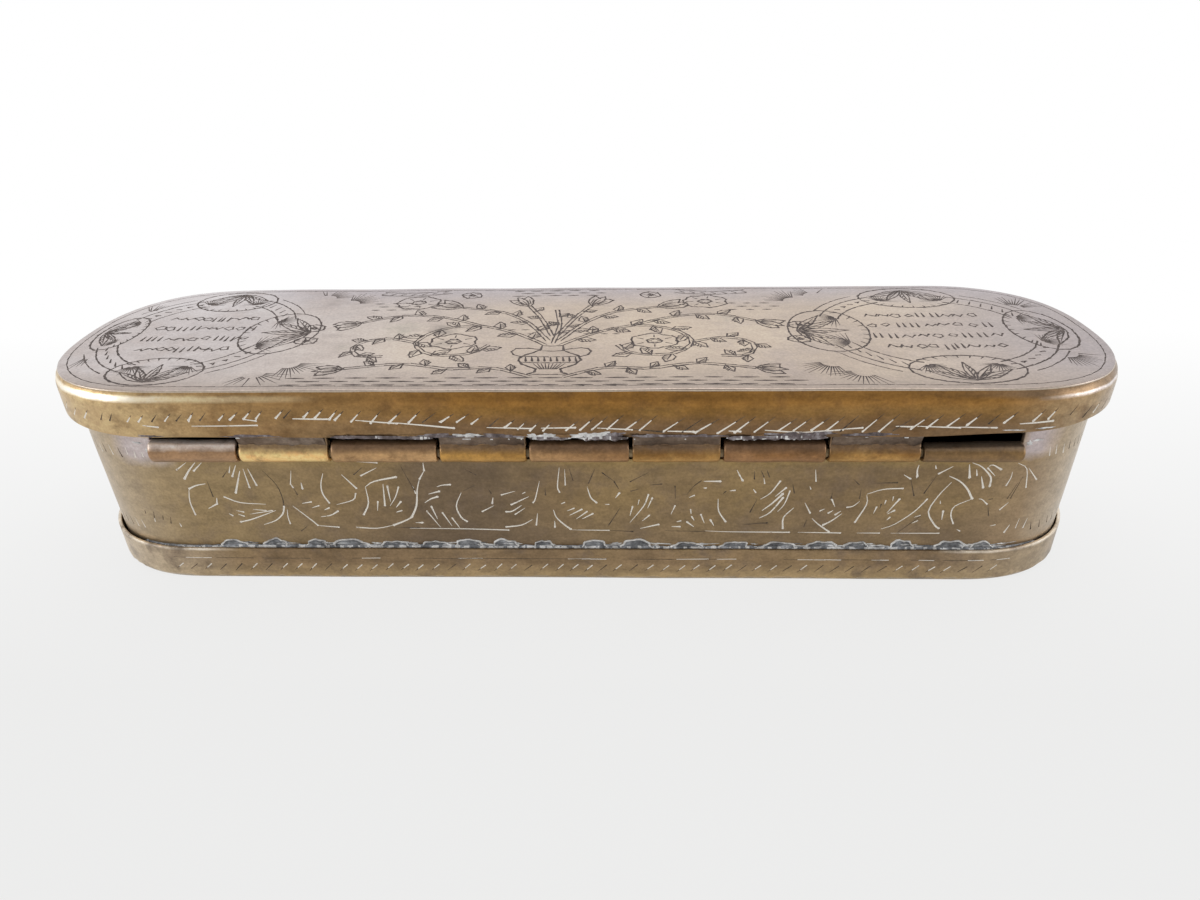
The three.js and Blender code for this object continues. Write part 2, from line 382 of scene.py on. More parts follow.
def triangulate(boundary, engraving, spacing, seed):
    """Triangles of a sheet in its own plane: places, faces, and where each boundary corner went."""
    corners = [tuple(p) for p in boundary]
    edges, faces = [], [list(range(len(corners)))]
    for cut in engraving.cuts if engraving else []:
        loop = engraving.outline(cut)
        first, count = len(corners), len(loop)
        corners += loop + [cut[0], cut[1]]
        edges += [(first + k, first + (k + 1) % count) for k in range(count)]
        tail, head = first + count, first + count + 1
        edges += [(first, tail), (tail, head), (head, first + 4)]
    corners += [tuple(p) for p in grid_points(boundary, spacing, seed)]
    made = delaunay_2d_cdt([Vector(p) for p in corners], edges, faces, 1, 1e-4)
    went = {source: index for index, sources in enumerate(made[3]) for source in sources}
    ring = np.array([went[i] for i in range(len(boundary))])
    return np.array([tuple(p) for p in made[0]]), [tuple(f) for f in made[2]], ring


def edge_directions(place, boundary, seam):
    """For each corner of a boundary, the direction in the surface that points out of the sheet."""
    before, after = np.roll(boundary, 1, axis=0), np.roll(boundary, -1, axis=0)
    step = after - before
    if seam:
        ends = np.isclose(np.abs(boundary[:, 0]), seam)
        step[ends, 0] = np.where(boundary[ends, 1] < boundary[:, 1].mean(), 1.0, -1.0)
        step[ends, 1] = 0
    out = unit(np.stack([step[:, 1], -step[:, 0]], axis=-1))
    along, across = slopes_at(place, boundary[:, 0], boundary[:, 1])
    return unit(along * out[:, :1] + across * out[:, 1:])


def seam_pairs(boundary, seam):
    """Corners of the two cut ends of a band that meet each other."""
    left = {round(t, 6): i for i, (s, t) in enumerate(boundary) if abs(s + seam) < 1e-6}
    right = {round(t, 6): i for i, (s, t) in enumerate(boundary) if abs(s - seam) < 1e-6}
    return [(right[t], left[t]) for t in right]


def cut_skin(outer, flat, faces, ring, engraving):
    """Places, kinds of faces and normals of an outer skin, which is pressed in where it is cut."""
    s, t = flat.T
    normals = normals_at(outer, s, t)
    places = outer(s, t)
    if not engraving:
        return places, np.zeros(len(faces), int), normals
    depth, _ = engraving.depth_at(s, t)
    depth[ring] = 0
    middles = flat[np.array(faces)].mean(1)
    face_depth, face_fill = engraving.depth_at(*middles.T)
    return places - normals * depth[:, None], np.where(face_depth > SHALLOWEST, face_fill, SKIN), normals


def rounded_edge(upper, lower, out):
    """Three lines of places round the edge between two skins. out is how far the edge stands out."""
    turns = np.linspace(0, math.pi, 5)[1:-1]
    return [(upper + lower) / 2 + (upper - lower) / 2 * math.cos(a) + out * math.sin(a) for a in turns]


def bridge_faces(loops, on_seam):
    """Faces between each loop of corners and the next one, but none at the cut ends of a band."""
    size = len(loops[0])
    sides = [(i, (i + 1) % size) for i in range(size)]
    sides = [(i, j) for i, j in sides if not (i in on_seam and j in on_seam)]
    return [(above[j], above[i], below[i], below[j]) for above, below in zip(loops, loops[1:])
            for i, j in sides]


def sheet_mesh(name, outer, inner, boundary, engraving, spacing, seed, bulge, seam=None):
    """A closed sheet: an engraved outer skin, a plain inner skin, and rounded edges between the two.

    outer and inner map the sheet's own plane to places. bulge is how far the rounded edge stands out.
    seam is half of the length round a band, whose two cut ends are joined."""
    boundary = np.array(boundary, float)
    flat, faces, ring = triangulate(boundary, engraving, spacing, seed)
    places, kinds, normals = cut_skin(outer, flat, faces, ring, engraving)
    back_flat, back_faces, back_ring = triangulate(boundary, None, spacing * INNER_COARSER, seed + 1)
    back_places = inner(*back_flat.T)
    start = len(places)
    parts, loops = [places, back_places], [ring]
    out = edge_directions(outer, boundary, seam) * bulge
    for between in rounded_edge(places[ring], back_places[back_ring], out):
        loops.append(sum(len(p) for p in parts) + np.arange(len(ring)))
        parts.append(between)
    loops.append(start + back_ring)
    pairs = seam_pairs(boundary, seam) if seam else []
    bridge = bridge_faces(loops, {i for pair in pairs for i in pair})
    kinds = np.concatenate([kinds, np.full(len(back_faces), INNER), np.full(len(bridge), SKIN)])
    merged = {loop[right]: loop[left] for loop in loops for right, left in pairs}
    faces = faces + [tuple(start + i for i in reversed(f)) for f in back_faces] + bridge
    faces = [tuple(merged.get(i, i) for i in f) for f in faces]
    return finished_sheet(name, np.vstack(parts), faces, kinds, normals)


def finished_sheet(name, places, faces, kinds, skin_normals):
    """Drops corners that nothing uses, builds the mesh and gives the skin its true normals."""
    used = np.unique(np.concatenate([np.array(f) for f in faces]))
    new_index = np.full(len(places), -1)
    new_index[used] = np.arange(len(used))
    mesh = bpy.data.meshes.new(name)
    mesh.from_pydata((places[used] * MM).tolist(), [], [tuple(new_index[list(f)]) for f in faces])
    smooth_faces = (kinds == SKIN) | (kinds == INNER)
    mesh.polygons.foreach_set("use_smooth", smooth_faces)
    mesh.polygons.foreach_set("material_index", kinds)
    mesh.update()
    normals = np.zeros(len(mesh.vertices) * 3)
    mesh.vertices.foreach_get("normal", normals)
    normals = normals.reshape(-1, 3)
    on_skin = used < len(skin_normals)
    normals[on_skin] = skin_normals[used[on_skin]]
    corners = np.zeros(len(mesh.loops), int)
    mesh.loops.foreach_get("vertex_index", corners)
    totals = np.zeros(len(mesh.polygons), int)
    mesh.polygons.foreach_get("loop_total", totals)
    loop_normals = normals[corners]
    loop_normals[np.repeat(~smooth_faces, totals)] = 0
    mesh.normals_split_custom_set(loop_normals.tolist())
    return mesh


def band_boundary(oval, low, high):
    """The unrolled outline of a band. low(s) is its lower edge; high is a list of its upper corners."""
    half = oval.half
    runs = np.linspace(-half, half, round(oval.length / EDGE_STEP) + 1)
    lower = [(s, low(s)) for s in runs]
    bottom, top = low(half), high[0][1]
    side = np.linspace(bottom, top, max(2, round((top - bottom) / EDGE_STEP)) + 1)[1:-1]
    return lower + [(half, t) for t in side] + high + [(-half, t) for t in reversed(side)]


def straight_edge(oval, t):
    """An upper edge all round a band at a run t along its profile."""
    runs = np.linspace(oval.half, -oval.half, round(oval.length / EDGE_STEP) + 1)
    return [(s, t) for s in runs]


# Rings, for tubes and beads of solder

def side_faces(count, size):
    """Faces of a skin through count closed rings of size places each."""
    return [(i * size + j, i * size + (j + 1) % size, (i + 1) * size + (j + 1) % size, (i + 1) * size + j)
            for i in range(count - 1) for j in range(size)]


def closed_faces(count, size):
    """The same, with a face over the first and over the last ring."""
    ends = [tuple(reversed(range(size))), tuple(range((count - 1) * size, count * size))]
    return side_faces(count, size) + ends


def plain_mesh(name, places, faces, smooth_angle=50):
    """A mesh from places in millimetres, smooth but for edges sharper than the angle."""
    mesh = bpy.data.meshes.new(name)
    mesh.from_pydata((np.asarray(places) * MM).tolist(), [], faces)
    mesh.polygons.foreach_set("use_smooth", np.ones(len(faces), bool))
    mesh.set_sharp_from_angle(angle=math.radians(smooth_angle))
    mesh.update()
    return mesh


def add_piece(name, mesh, body, nodes, materials):
    """A piece of the scene on a body and the CAD nodes that it stands for."""
    piece = bpy.data.objects.new(name, mesh)
    bpy.context.scene.collection.objects.link(piece)
    for material in materials:
        mesh.materials.append(material)
    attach(piece, body)
    if nodes:
        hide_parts(*nodes)


# Materials

def node_material(name):
    made = bpy.data.materials.new(name)
    made.use_nodes = True
    return made, made.node_tree, made.node_tree.nodes["Principled BSDF"]


def put(tree, socket, value):
    """Links an output to an input, or sets the input to a number, a place or a colour."""
    if isinstance(value, bpy.types.NodeSocket):
        tree.links.new(value, socket)
    elif socket.type == "RGBA":
        socket.default_value = (*value, 1)
    else:
        socket.default_value = value


def set_node(tree, node, **values):
    """Sets properties of a node and inputs of it. A name that no property has is an input's."""
    for key, value in values.items():
        if hasattr(node, key):
            setattr(node, key, value)
        else:
            put(tree, node.inputs[key.replace("_", " ")], value)
    return node


def add_node(tree, kind, *inputs, **values):
    """A new node, with its first inputs in their order and others by name."""
    node = set_node(tree, tree.nodes.new(kind), **values)
    for socket, value in zip(node.inputs, inputs):
        put(tree, socket, value)
    return node


def object_places(tree, stretch=(1, 1, 1)):
    """Object places in millimetres, stretched by a factor along each axis."""
    places = add_node(tree, "ShaderNodeTexCoord").outputs["Object"]
    return add_node(tree, "ShaderNodeMapping", places, Scale=[k / MM for k in stretch]).outputs["Vector"]


def axes_of(tree, vector):
    return add_node(tree, "ShaderNodeSeparateXYZ", vector).outputs


def noise_of(tree, vector, scale, detail=4.0, roughness=0.55):
    node = add_node(tree, "ShaderNodeTexNoise", vector, Scale=scale, Detail=detail, Roughness=roughness)
    return node.outputs["Fac"]


def ramp(tree, value, stops):
    """A colour ramp. stops are (place, grey) or (place, (r, g, b))."""
    node = add_node(tree, "ShaderNodeValToRGB", value)
    elements = node.color_ramp.elements
    while len(elements) < len(stops):
        elements.new(0.5)
    for element, (place, colour) in zip(elements, stops):
        element.position = place
        rgb = colour if isinstance(colour, tuple) else (colour,) * 3
        element.color = (*rgb, 1)
    return node.outputs["Color"]


def mix(tree, factor, a, b, blend="MIX"):
    node = add_node(tree, "ShaderNodeMix", factor, data_type="RGBA", blend_type=blend)
    put(tree, node.inputs[6], a)
    put(tree, node.inputs[7], b)
    return node.outputs[2]


def times(tree, a, b):
    return add_node(tree, "ShaderNodeMath", a, b, operation="MULTIPLY").outputs["Value"]


def spread_of(tree, value, low, high, first=0.0, last=1.0):
    """A value that goes from first at low to last at high."""
    return add_node(tree, "ShaderNodeMapRange", value, low, high, first, last).outputs["Result"]


def shaken(tree, value, places, amount, scale, detail=4.0, roughness=0.55):
    """A value with noise on it, for a ragged border."""
    cloud = noise_of(tree, places, scale, detail, roughness)
    return add_node(tree, "ShaderNodeMath", cloud, amount, value, operation="MULTIPLY_ADD").outputs["Value"]


def band(tree, axis, low, high, ragged, scale):
    """A mask that goes from 0 at low to 1 at high along an axis, in millimetres, with a ragged border."""
    places = object_places(tree)
    value = shaken(tree, axes_of(tree, places)[axis], places, 2 * ragged, scale)
    return spread_of(tree, value, low + ragged, high + ragged)


def spot(tree, x, y, radius):
    """A blotch on the lid's top: 1 in its middle and 0 outside, with a cloudy border."""
    places = object_places(tree)
    away = add_node(tree, "ShaderNodeVectorMath", places, (x, y, PLATE_HIGH[2]), operation="DISTANCE")
    value = shaken(tree, away.outputs["Value"], places, 2.4 * radius, 0.25, 5.0, 0.65)
    return spread_of(tree, value, 1.9 * radius, 0.9 * radius)


def tinted(tree, colour, tints):
    """Other tints in zones. Each is (tint, strength, zones), and it lies where all its zones overlap.

    A zone is what band takes, or the place and radius of a spot."""
    for tint, strength, *zones in tints:
        mask = None
        for zone in zones:
            next_mask = spot(tree, *zone) if len(zone) == 3 else band(tree, *zone)
            mask = next_mask if mask is None else times(tree, mask, next_mask)
        colour = mix(tree, ramp(tree, mask, [(0.0, 0.0), (1.0, strength)]), colour, tint)
    return colour


def bump(tree, bsdf, *layers):
    """Stacked bumps: each layer is (height, strength, distance in millimetres)."""
    normal = {}
    for height, strength, distance in layers:
        values = {"Height": height, "Strength": strength, "Distance": distance * MM, **normal}
        node = add_node(tree, "ShaderNodeBump", **values)
        normal = {"Normal": node.outputs["Normal"]}
    set_node(tree, bsdf, **normal)


# Marks of metal run along the sheet: how much mottles and scratches are stretched, and how fine they are
MOTTLE_STRETCH, MOTTLE_SCALE = (0.45, 1, 1), 0.6
SCRATCH_STRETCH, SCRATCH_SCALE = (0.1, 1, 1), 3.0
GRAIN_SCALE, GRAIN_SHARE = 2.6, 0.6
SWELL_SCALE = 0.3
# Stains are this many times finer than the patches of tone
STAIN_FINENESS = 3.1
# How much lighter than the lightest tone the rubbed scratches are
RUBBED_BRIGHT, RUBBED_LIMIT, RUBBED_SHARE = 1.5, 0.9, 0.35


def metal(name, tones, stain, roughness=(0.3, 0.45), patch=0.05, stained=0.5, metallic=0.8, mottled=0.7,
          tints=(), bright=()):
    """Old sheet metal: patches of three tones, stains, zones of other tints, fine scratches and pits.

    The bright tints lie over the stains, and the others under them."""
    made, tree, bsdf = node_material(name)
    dark, base, light = tones
    places = object_places(tree)
    colour = ramp(tree, noise_of(tree, places, patch, 5.0, 0.6), [(0.34, dark), (0.5, base), (0.66, light)])
    colour = tinted(tree, colour, tints)
    cloud = noise_of(tree, places, patch * STAIN_FINENESS, 6.0, 0.65)
    colour = mix(tree, ramp(tree, cloud, [(0.5, 0.0), (0.68, stained)]), colour, stain)
    colour = tinted(tree, colour, bright)
    mottle = noise_of(tree, object_places(tree, MOTTLE_STRETCH), MOTTLE_SCALE, 6.0, 0.7)
    colour = mix(tree, mottled, colour, ramp(tree, mottle, [(0.36, 0.36), (0.64, 0.64)]), "OVERLAY")
    grain = noise_of(tree, places, GRAIN_SCALE, 4.0, 0.6)
    colour = mix(tree, GRAIN_SHARE, colour, ramp(tree, grain, [(0.3, 0.38), (0.7, 0.62)]), "OVERLAY")
    scratches = noise_of(tree, object_places(tree, SCRATCH_STRETCH), SCRATCH_SCALE, 6.0, 0.7)
    rubbed = ramp(tree, scratches, [(0.6, 0.0), (0.72, RUBBED_SHARE * mottled)])
    colour = mix(tree, rubbed, colour, tuple(min(RUBBED_LIMIT, RUBBED_BRIGHT * k) for k in light))
    rough = ramp(tree, mix(tree, 0.5, cloud, scratches), [(0.3, roughness[0]), (0.7, roughness[1])])
    set_node(tree, bsdf, Base_Color=colour, Metallic=metallic, Roughness=rough)
    swell = noise_of(tree, places, SWELL_SCALE, 3.0)
    bump(tree, bsdf, (swell, 0.3, 0.12), (scratches, 0.15, 0.02), (grain, 0.12, 0.02))
    return made


def residue(name, dark, pale, threshold):
    """What fills a cut: polish that has dried pale in some places, and dark tarnish in others."""
    made, tree, bsdf = node_material(name)
    places = object_places(tree)
    patches = noise_of(tree, places, 1.4, 4.0, 0.6)
    colour = ramp(tree, patches, [(threshold - 0.07, dark), (threshold + 0.04, pale)])
    set_node(tree, bsdf, Base_Color=colour, Roughness=0.7)
    bump(tree, bsdf, (noise_of(tree, places, 4.0, 3.0), 0.3, 0.03))
    return made


def solder(name, dark, base, light, metallic=0.7):
    """Soft solder: lumpy, in dull and bright patches, with small pits."""
    made, tree, bsdf = node_material(name)
    places = object_places(tree)
    colour = ramp(tree, noise_of(tree, places, 0.7, 6.0, 0.65), [(0.35, dark), (0.5, base), (0.66, light)])
    rough = ramp(tree, noise_of(tree, places, 1.7, 4.0), [(0.3, 0.35), (0.7, 0.6)])
    set_node(tree, bsdf, Base_Color=colour, Metallic=metallic, Roughness=rough)
    lumps = noise_of(tree, places, 1.2, 4.0, 0.6)
    pits = noise_of(tree, places, 5.0, 4.0, 0.7)
    bump(tree, bsdf, (lumps, 0.5, 0.15), (pits, 0.4, 0.05))
    return made


# The engraved copper plate of the lid: mauve at its ends and far side, with dark and olive stains, and a
# painted highlight along its rounded edge
LID_STAIN = (0.14, 0.12, 0.10)
OLIVE = (0.40, 0.365, 0.30)
LID_TOP = PLATE_HIGH[2]
COPPER = metal(
    "copper_plate", ((0.47, 0.38, 0.31), (0.545, 0.445, 0.355), (0.61, 0.50, 0.385)), (0.42, 0.35, 0.32),
    roughness=(0.3, 0.42), patch=0.035, metallic=0.9, mottled=0.25,
    tints=[
        ((0.51, 0.468, 0.472), 0.85, ("X", -8, -58, 12, 0.04)),
        ((0.365, 0.325, 0.34), 0.8, ("X", 46, 76, 8, 0.05)),
        ((0.43, 0.385, 0.40), 0.9, ("Y", 11, 20, 3, 0.08)),
        ((0.37, 0.30, 0.255), 0.85, ("Y", -14, -21, 3, 0.09)),
        (OLIVE, 0.85, (-29.5, 0.5, 6.0)),
        (OLIVE, 0.7, (-37.5, -6.5, 3.0)),
        (LID_STAIN, 0.85, (-23.0, 1.0, 3.6)),
        (LID_STAIN, 0.5, (-22.0, -5.0, 3.0)),
        ((0.30, 0.28, 0.25), 0.6, (24.5, 6.0, 3.6)),
        ((0.24, 0.21, 0.20), 0.6, (-45.0, 13.5, 3.4)),
        ((0.64, 0.60, 0.60), 0.8, ("X", -50, -66, 6, 0.06), ("Y", 6, 14, 3, 0.08)),
    ],
    # Painted highlight: the rounded edge just below the plate's top is paler
    bright=[((0.58, 0.49, 0.39), 0.9, ("Z", LID_TOP - 0.14, LID_TOP - 0.22, 0.02, 0.5))],
)

# The skirt: golden at the left, made pale at its ends by painted reflection, with a painted highlight on the
# shoulder at both ends
SKIRT_FOOT, SKIRT_TOP = SKIRT_LOW[2], SKIRT_HIGH[2]
# The band of the shoulder that holds the painted highlights: above the lower and below the upper of these
# two
SHOULDER_LOW = ("Z", SKIRT_TOP - 1.25, SKIRT_TOP - 0.8, 0.12, 0.3)
SHOULDER_HIGH = ("Z", SKIRT_TOP - 0.1, SKIRT_TOP - 0.45, 0.12, 0.3)
BRASS_SKIRT = metal(
    "brass_skirt", ((0.205, 0.105, 0.025), (0.255, 0.13, 0.032), (0.31, 0.17, 0.048)), (0.17, 0.088, 0.033),
    roughness=(0.26, 0.4), patch=0.09, stained=0.6,
    tints=[
        ((0.27, 0.152, 0.05), 0.6, ("X", 18, 40, 8, 0.04)),
        ((0.18, 0.112, 0.062), 0.8, ("Z", SKIRT_FOOT + 4.0, SKIRT_FOOT + 1.8, 0.7, 0.4)),
        # Painted sheen: a lighter, warmer band on the upper part of the skirt, which faces up
        ((0.35, 0.165, 0.036), 0.65, ("Z", SKIRT_TOP - 2.3, SKIRT_TOP - 1.2, 0.5, 0.4)),
        ((0.365, 0.225, 0.096), 0.85, ("X", -16, -50, 9, 0.04)),
        # Painted reflection: the skirt turns paler towards both ends, where its curve faces the light from
        # the sides
        ((0.63, 0.46, 0.24), 0.85, ("X", -50, -68, 5, 0.06)),
        ((0.44, 0.365, 0.285), 0.85, ("X", -76, -82, 2, 0.1)),
        ((0.42, 0.31, 0.185), 0.8, ("X", 60, 74, 5, 0.06)),
        ((0.52, 0.435, 0.345), 0.85, ("X", 74, 80, 3, 0.06)),
    ],
    bright=[
        # Painted highlights on the shoulder at the left end, golden and then white towards the end
        ((0.92, 0.75, 0.46), 0.88, ("X", -36, -60, 5, 0.08), SHOULDER_LOW, SHOULDER_HIGH),
        ((0.98, 0.93, 0.82), 0.9,
         ("X", -56, -67, 3, 0.08), ("X", -80, -75, 2, 0.1), SHOULDER_LOW, SHOULDER_HIGH),
        # At the right end a painted dark reflection on the shoulder's top, over a painted highlight
        ((0.24, 0.155, 0.09), 0.85,
         ("X", 50, 64, 3, 0.08), ("Z", SKIRT_TOP - 0.9, SKIRT_TOP - 0.4, 0.15, 0.3)),
        ((0.88, 0.82, 0.82), 0.85, ("X", 64, 72, 3, 0.08), ("X", 81, 78, 2, 0.1),
         SHOULDER_LOW, ("Z", SKIRT_TOP - 0.5, SKIRT_TOP - 0.8, 0.15, 0.3)),
    ],
)

# The wall: made pale at its ends by painted reflection, golden under the hinge, with a lilac smear of solder
# at both ends of the hinge
NOTCH_FLOOR = HINGE_Z - NOTCH_DROP
HINGE_SIDE = ("Y", -8, -12, 1, 0.1)
SMEAR = (0.58, 0.51, 0.53)
SMEAR_LEFT = (("X", -71, -67.5, 1, 0.2), ("X", -60, -62, 1, 0.2), ("Z", 20.5, 22.5, 0.8, 0.4), HINGE_SIDE)
SMEAR_RIGHT = (("X", 64.5, 66.0, 0.6, 0.2), ("X", 71.5, 68, 1, 0.2), ("Z", 21.6, 23.2, 0.8, 0.4), HINGE_SIDE)
BRASS_WALL = metal(
    "brass_wall", ((0.20, 0.135, 0.072), (0.25, 0.17, 0.085), (0.30, 0.205, 0.095)), (0.175, 0.128, 0.096),
    patch=0.06, stained=0.4, mottled=0.5,
    tints=[
        ((0.33, 0.225, 0.085), 0.6, ("Z", NOTCH_FLOOR - 1.6, NOTCH_FLOOR - 0.4, 0.8, 0.35)),
        ((0.21, 0.15, 0.095), 0.5, ("Z", 15.0, 8.0, 2.0, 0.15)),
        ((0.15, 0.106, 0.068), 0.75, ("X", -32, -24, 3, 0.1), ("X", -4, -12, 3, 0.1)),
        ((0.35, 0.25, 0.125), 0.8, ("X", -32, -56, 6, 0.06)),
    ],
    bright=[
        # Painted reflection: the wall turns paler towards both ends, where its curve faces the light from
        # the sides
        ((0.53, 0.43, 0.315), 0.8, ("X", -60, -76, 5, 0.06)),
        ((0.36, 0.255, 0.155), 0.65, ("X", 58, 68, 4, 0.06)),
        ((0.56, 0.48, 0.375), 0.82, ("X", 68, 78, 4, 0.06)),
        (SMEAR, 0.75, *SMEAR_RIGHT),
        (SMEAR, 0.75, *SMEAR_LEFT),
    ],
)

# The rim: painted reflection makes its ends pale and a painted highlight lies on its upper edge at both
# ends; its foot is lighter
# The band of the rim's upper edge that holds a painted highlight, and the highlight's colour
RIM_EDGE = ("Z", RIM_HIGH[2] - 0.5, RIM_HIGH[2] - 0.15, 0.12, 0.5)
RIM_EDGE_HIGHLIGHT = (0.85, 0.74, 0.60)
BRASS_RIM = metal(
    "brass_rim", ((0.21, 0.14, 0.075), (0.26, 0.175, 0.095), (0.30, 0.205, 0.105)), (0.18, 0.13, 0.09),
    roughness=(0.28, 0.42), patch=0.07, stained=0.75,
    tints=[
        ((0.42, 0.30, 0.155), 0.8, ("Z", 3.4, 0.8, 0.5, 0.3)),
        # Painted reflection: the rim turns paler towards both ends
        ((0.59, 0.48, 0.345), 0.8, ("X", -54, -72, 4, 0.08)),
        ((0.40, 0.31, 0.205), 0.8, ("X", 54, 70, 4, 0.08)),
        # Painted highlight on the upper edge at both ends
        (RIM_EDGE_HIGHLIGHT, 0.9, RIM_EDGE, ("X", 55, 60, 3, 0.2)),
        (RIM_EDGE_HIGHLIGHT, 0.9, RIM_EDGE, ("X", -54, -60, 3, 0.2)),
    ],
)

BRASS_INNER = metal("brass_inner", ((0.14, 0.10, 0.05), (0.20, 0.14, 0.07), (0.26, 0.19, 0.09)),
                    (0.1, 0.07, 0.04), roughness=(0.4, 0.6))
COPPER_INNER = metal("copper_inner", ((0.20, 0.11, 0.07), (0.27, 0.155, 0.10), (0.33, 0.20, 0.13)),
                     (0.12, 0.08, 0.06), roughness=(0.4, 0.6))


def knuckle_metal(name, tones, left, far_left, top, top_from=0.3):
    """Rolled brass, lighter at the hinge's left, made brightest low down by a painted reflection of the
    floor, with painted light on the tube's top: shade where that tint is dark, a reflection where it is
    pale.
    """
    _, base, light = tones
    return metal(
        name, tones, tuple(k * 0.55 for k in base), roughness=(0.28, 0.42), patch=0.16, metallic=0.6,
        tints=[
            # Painted reflection of the floor: the lower part of the tube is lighter
            (light, 0.75, ("Z", HINGE_Z + 0.2, HINGE_Z - 0.9, 0.3, 0.6)),
            (left, 0.85, ("X", 14, -18, 3, 0.1)),
            (far_left, 0.9, ("X", -35.0, -37.0, 0.4, 0.1)),
            # Painted light on the tube's top: shade from a dark top colour, a reflection from a pale one
            (top, 0.85, ("Z", HINGE_Z + top_from, HINGE_Z + top_from + 1.0, 0.3, 0.9)),
        ],
    )


# Painted shade on the tops of the tubes, which lie under the skirt's lower edge
TUBE_TOP_SHADE = (0.20, 0.13, 0.08)
KNUCKLE_GOLD = knuckle_metal(
    "knuckle_gold", ((0.21, 0.098, 0.022), (0.265, 0.13, 0.031), (0.46, 0.26, 0.078)),
    (0.50, 0.27, 0.065), (0.92, 0.64, 0.27), TUBE_TOP_SHADE,
)
KNUCKLE_PINK = knuckle_metal(
    "knuckle_pink", ((0.19, 0.09, 0.03), (0.245, 0.118, 0.04), (0.34, 0.175, 0.072)),
    (0.53, 0.32, 0.145), (0.46, 0.29, 0.15), (0.18, 0.105, 0.06),
)
# The first tube's pale top colour is a painted reflection of the bright room
KNUCKLE_FIRST = knuckle_metal(
    "knuckle_first", ((0.32, 0.19, 0.10), (0.38, 0.225, 0.125), (0.44, 0.26, 0.15)),
    (0.36, 0.21, 0.11), (0.35, 0.205, 0.105), (0.86, 0.76, 0.69), 0.7,
)
KNUCKLE_OLIVE = metal("knuckle_olive", ((0.19, 0.11, 0.045), (0.24, 0.142, 0.06), (0.30, 0.18, 0.07)),
                      (0.15, 0.09, 0.05), patch=0.12, metallic=0.7,
                      tints=[((0.24, 0.19, 0.15), 0.7, ("Z", HINGE_Z + 0.6, HINGE_Z + 1.3, 0.3, 0.9))])
WIRE = metal("pin_wire", ((0.15, 0.11, 0.06), (0.22, 0.16, 0.09), (0.30, 0.22, 0.12)), (0.1, 0.08, 0.05))
SOLDER_STRIP = metal("solder_strip", ((0.085, 0.055, 0.036), (0.148, 0.102, 0.07), (0.25, 0.19, 0.145)),
                     (0.068, 0.044, 0.03), roughness=(0.4, 0.6), patch=0.22, stained=0.6, metallic=0.5)
SOLDER_GREY = solder("solder_grey", (0.10, 0.10, 0.105), (0.19, 0.195, 0.205), (0.42, 0.43, 0.45), 0.5)
SOLDER_DARK = solder("solder_dark", (0.07, 0.055, 0.052), (0.16, 0.13, 0.13), (0.36, 0.34, 0.35))
SOLDER_PALE = solder("solder_pale", (0.34, 0.33, 0.325), (0.60, 0.59, 0.57), (0.84, 0.83, 0.81), 0.1)

# What an engraved sheet has besides its own metal, in the order of DARK, PALE and INNER
COPPER_REST = [residue("lid_cut", (0.055, 0.04, 0.035), (0.11, 0.085, 0.075), 0.5),
               residue("lid_pale", (0.14, 0.12, 0.11), (0.85, 0.82, 0.80), 0.4), COPPER_INNER]
BRASS_REST = [residue("brass_cut", (0.045, 0.03, 0.018), (0.12, 0.08, 0.045), 0.5),
              residue("brass_pale", (0.30, 0.23, 0.15), (0.80, 0.75, 0.67), 0.34), BRASS_INNER]


# Ornament of the lid

def beside(points, gap):
    """The line that runs beside a curve at a distance from it."""
    line = smooth(points)
    step = unit(np.gradient(line, axis=0))
    return line + gap * np.stack([-step[:, 1], step[:, 0]], axis=-1)


def ribbon(art, points, gap, kind=0):
    """Two lines side by side, with ticks between the two, or lozenges if kind is 1."""
    for side in (-gap, gap):
        art.carve([tuple(p) for p in beside(points, side)[::3]], 0.14, chord=1.7)
    line = smooth(points)
    run = run_along(line)
    for place in np.arange(1.2, run[-1] - 0.8, 1.9):
        x, y = (np.interp(place, run, line[:, k]) for k in (0, 1))
        if kind:
            small_ornament(art, (x, y), 1, 0.5)
        else:
            a, b = (np.interp(place + 0.4 * d, run, line[:, 0]) for d in (-1, 1))
            art.cut((a, y + gap * 0.45), (b, y - gap * 0.45), 0.06, 0.13)


def leaf(art, a, b, width):
    """A leaf from its root a to its tip b: two curved sides, a vein and shading on one side."""
    dx, dy = b[0] - a[0], b[1] - a[1]
    for side in (1, -1):
        belly = (a[0] + dx * 0.45 - dy * width * side, a[1] + dy * 0.45 + dx * width * side)
        art.carve([a, belly, b], 0.13)
    art.cut((a[0] + dx * 0.8, a[1] + dy * 0.8), (a[0] + dx * 0.15, a[1] + dy * 0.15), 0.05, 0.13)
    for k in range(3 if math.hypot(dx, dy) > 2.4 else 0):
        share = 0.25 + 0.17 * k
        vein = (a[0] + dx * share, a[1] + dy * share)
        edge = (vein[0] + dx * 0.16 + dy * width * 0.75, vein[1] + dy * 0.16 - dx * width * 0.75)
        art.cut(vein, edge, 0.05, 0.11)


def fan(art, root, angle, spread, near, far):
    """Hatching that opens out from a root: 13 cuts between two distances from it."""
    count, width = 13, 0.1
    for k in range(count):
        turn = angle + spread * (k / (count - 1) - 0.5)
        reach = far * (0.75 + 0.35 * art.rng.random())
        direction = (math.cos(turn), math.sin(turn))
        a, b = [(root[0] + direction[0] * r, root[1] + direction[1] * r) for r in (reach, near)]
        # The draw decides nothing, but those after it depend on it
        art.rng.random()
        art.cut(a, b, width * 0.3, width)


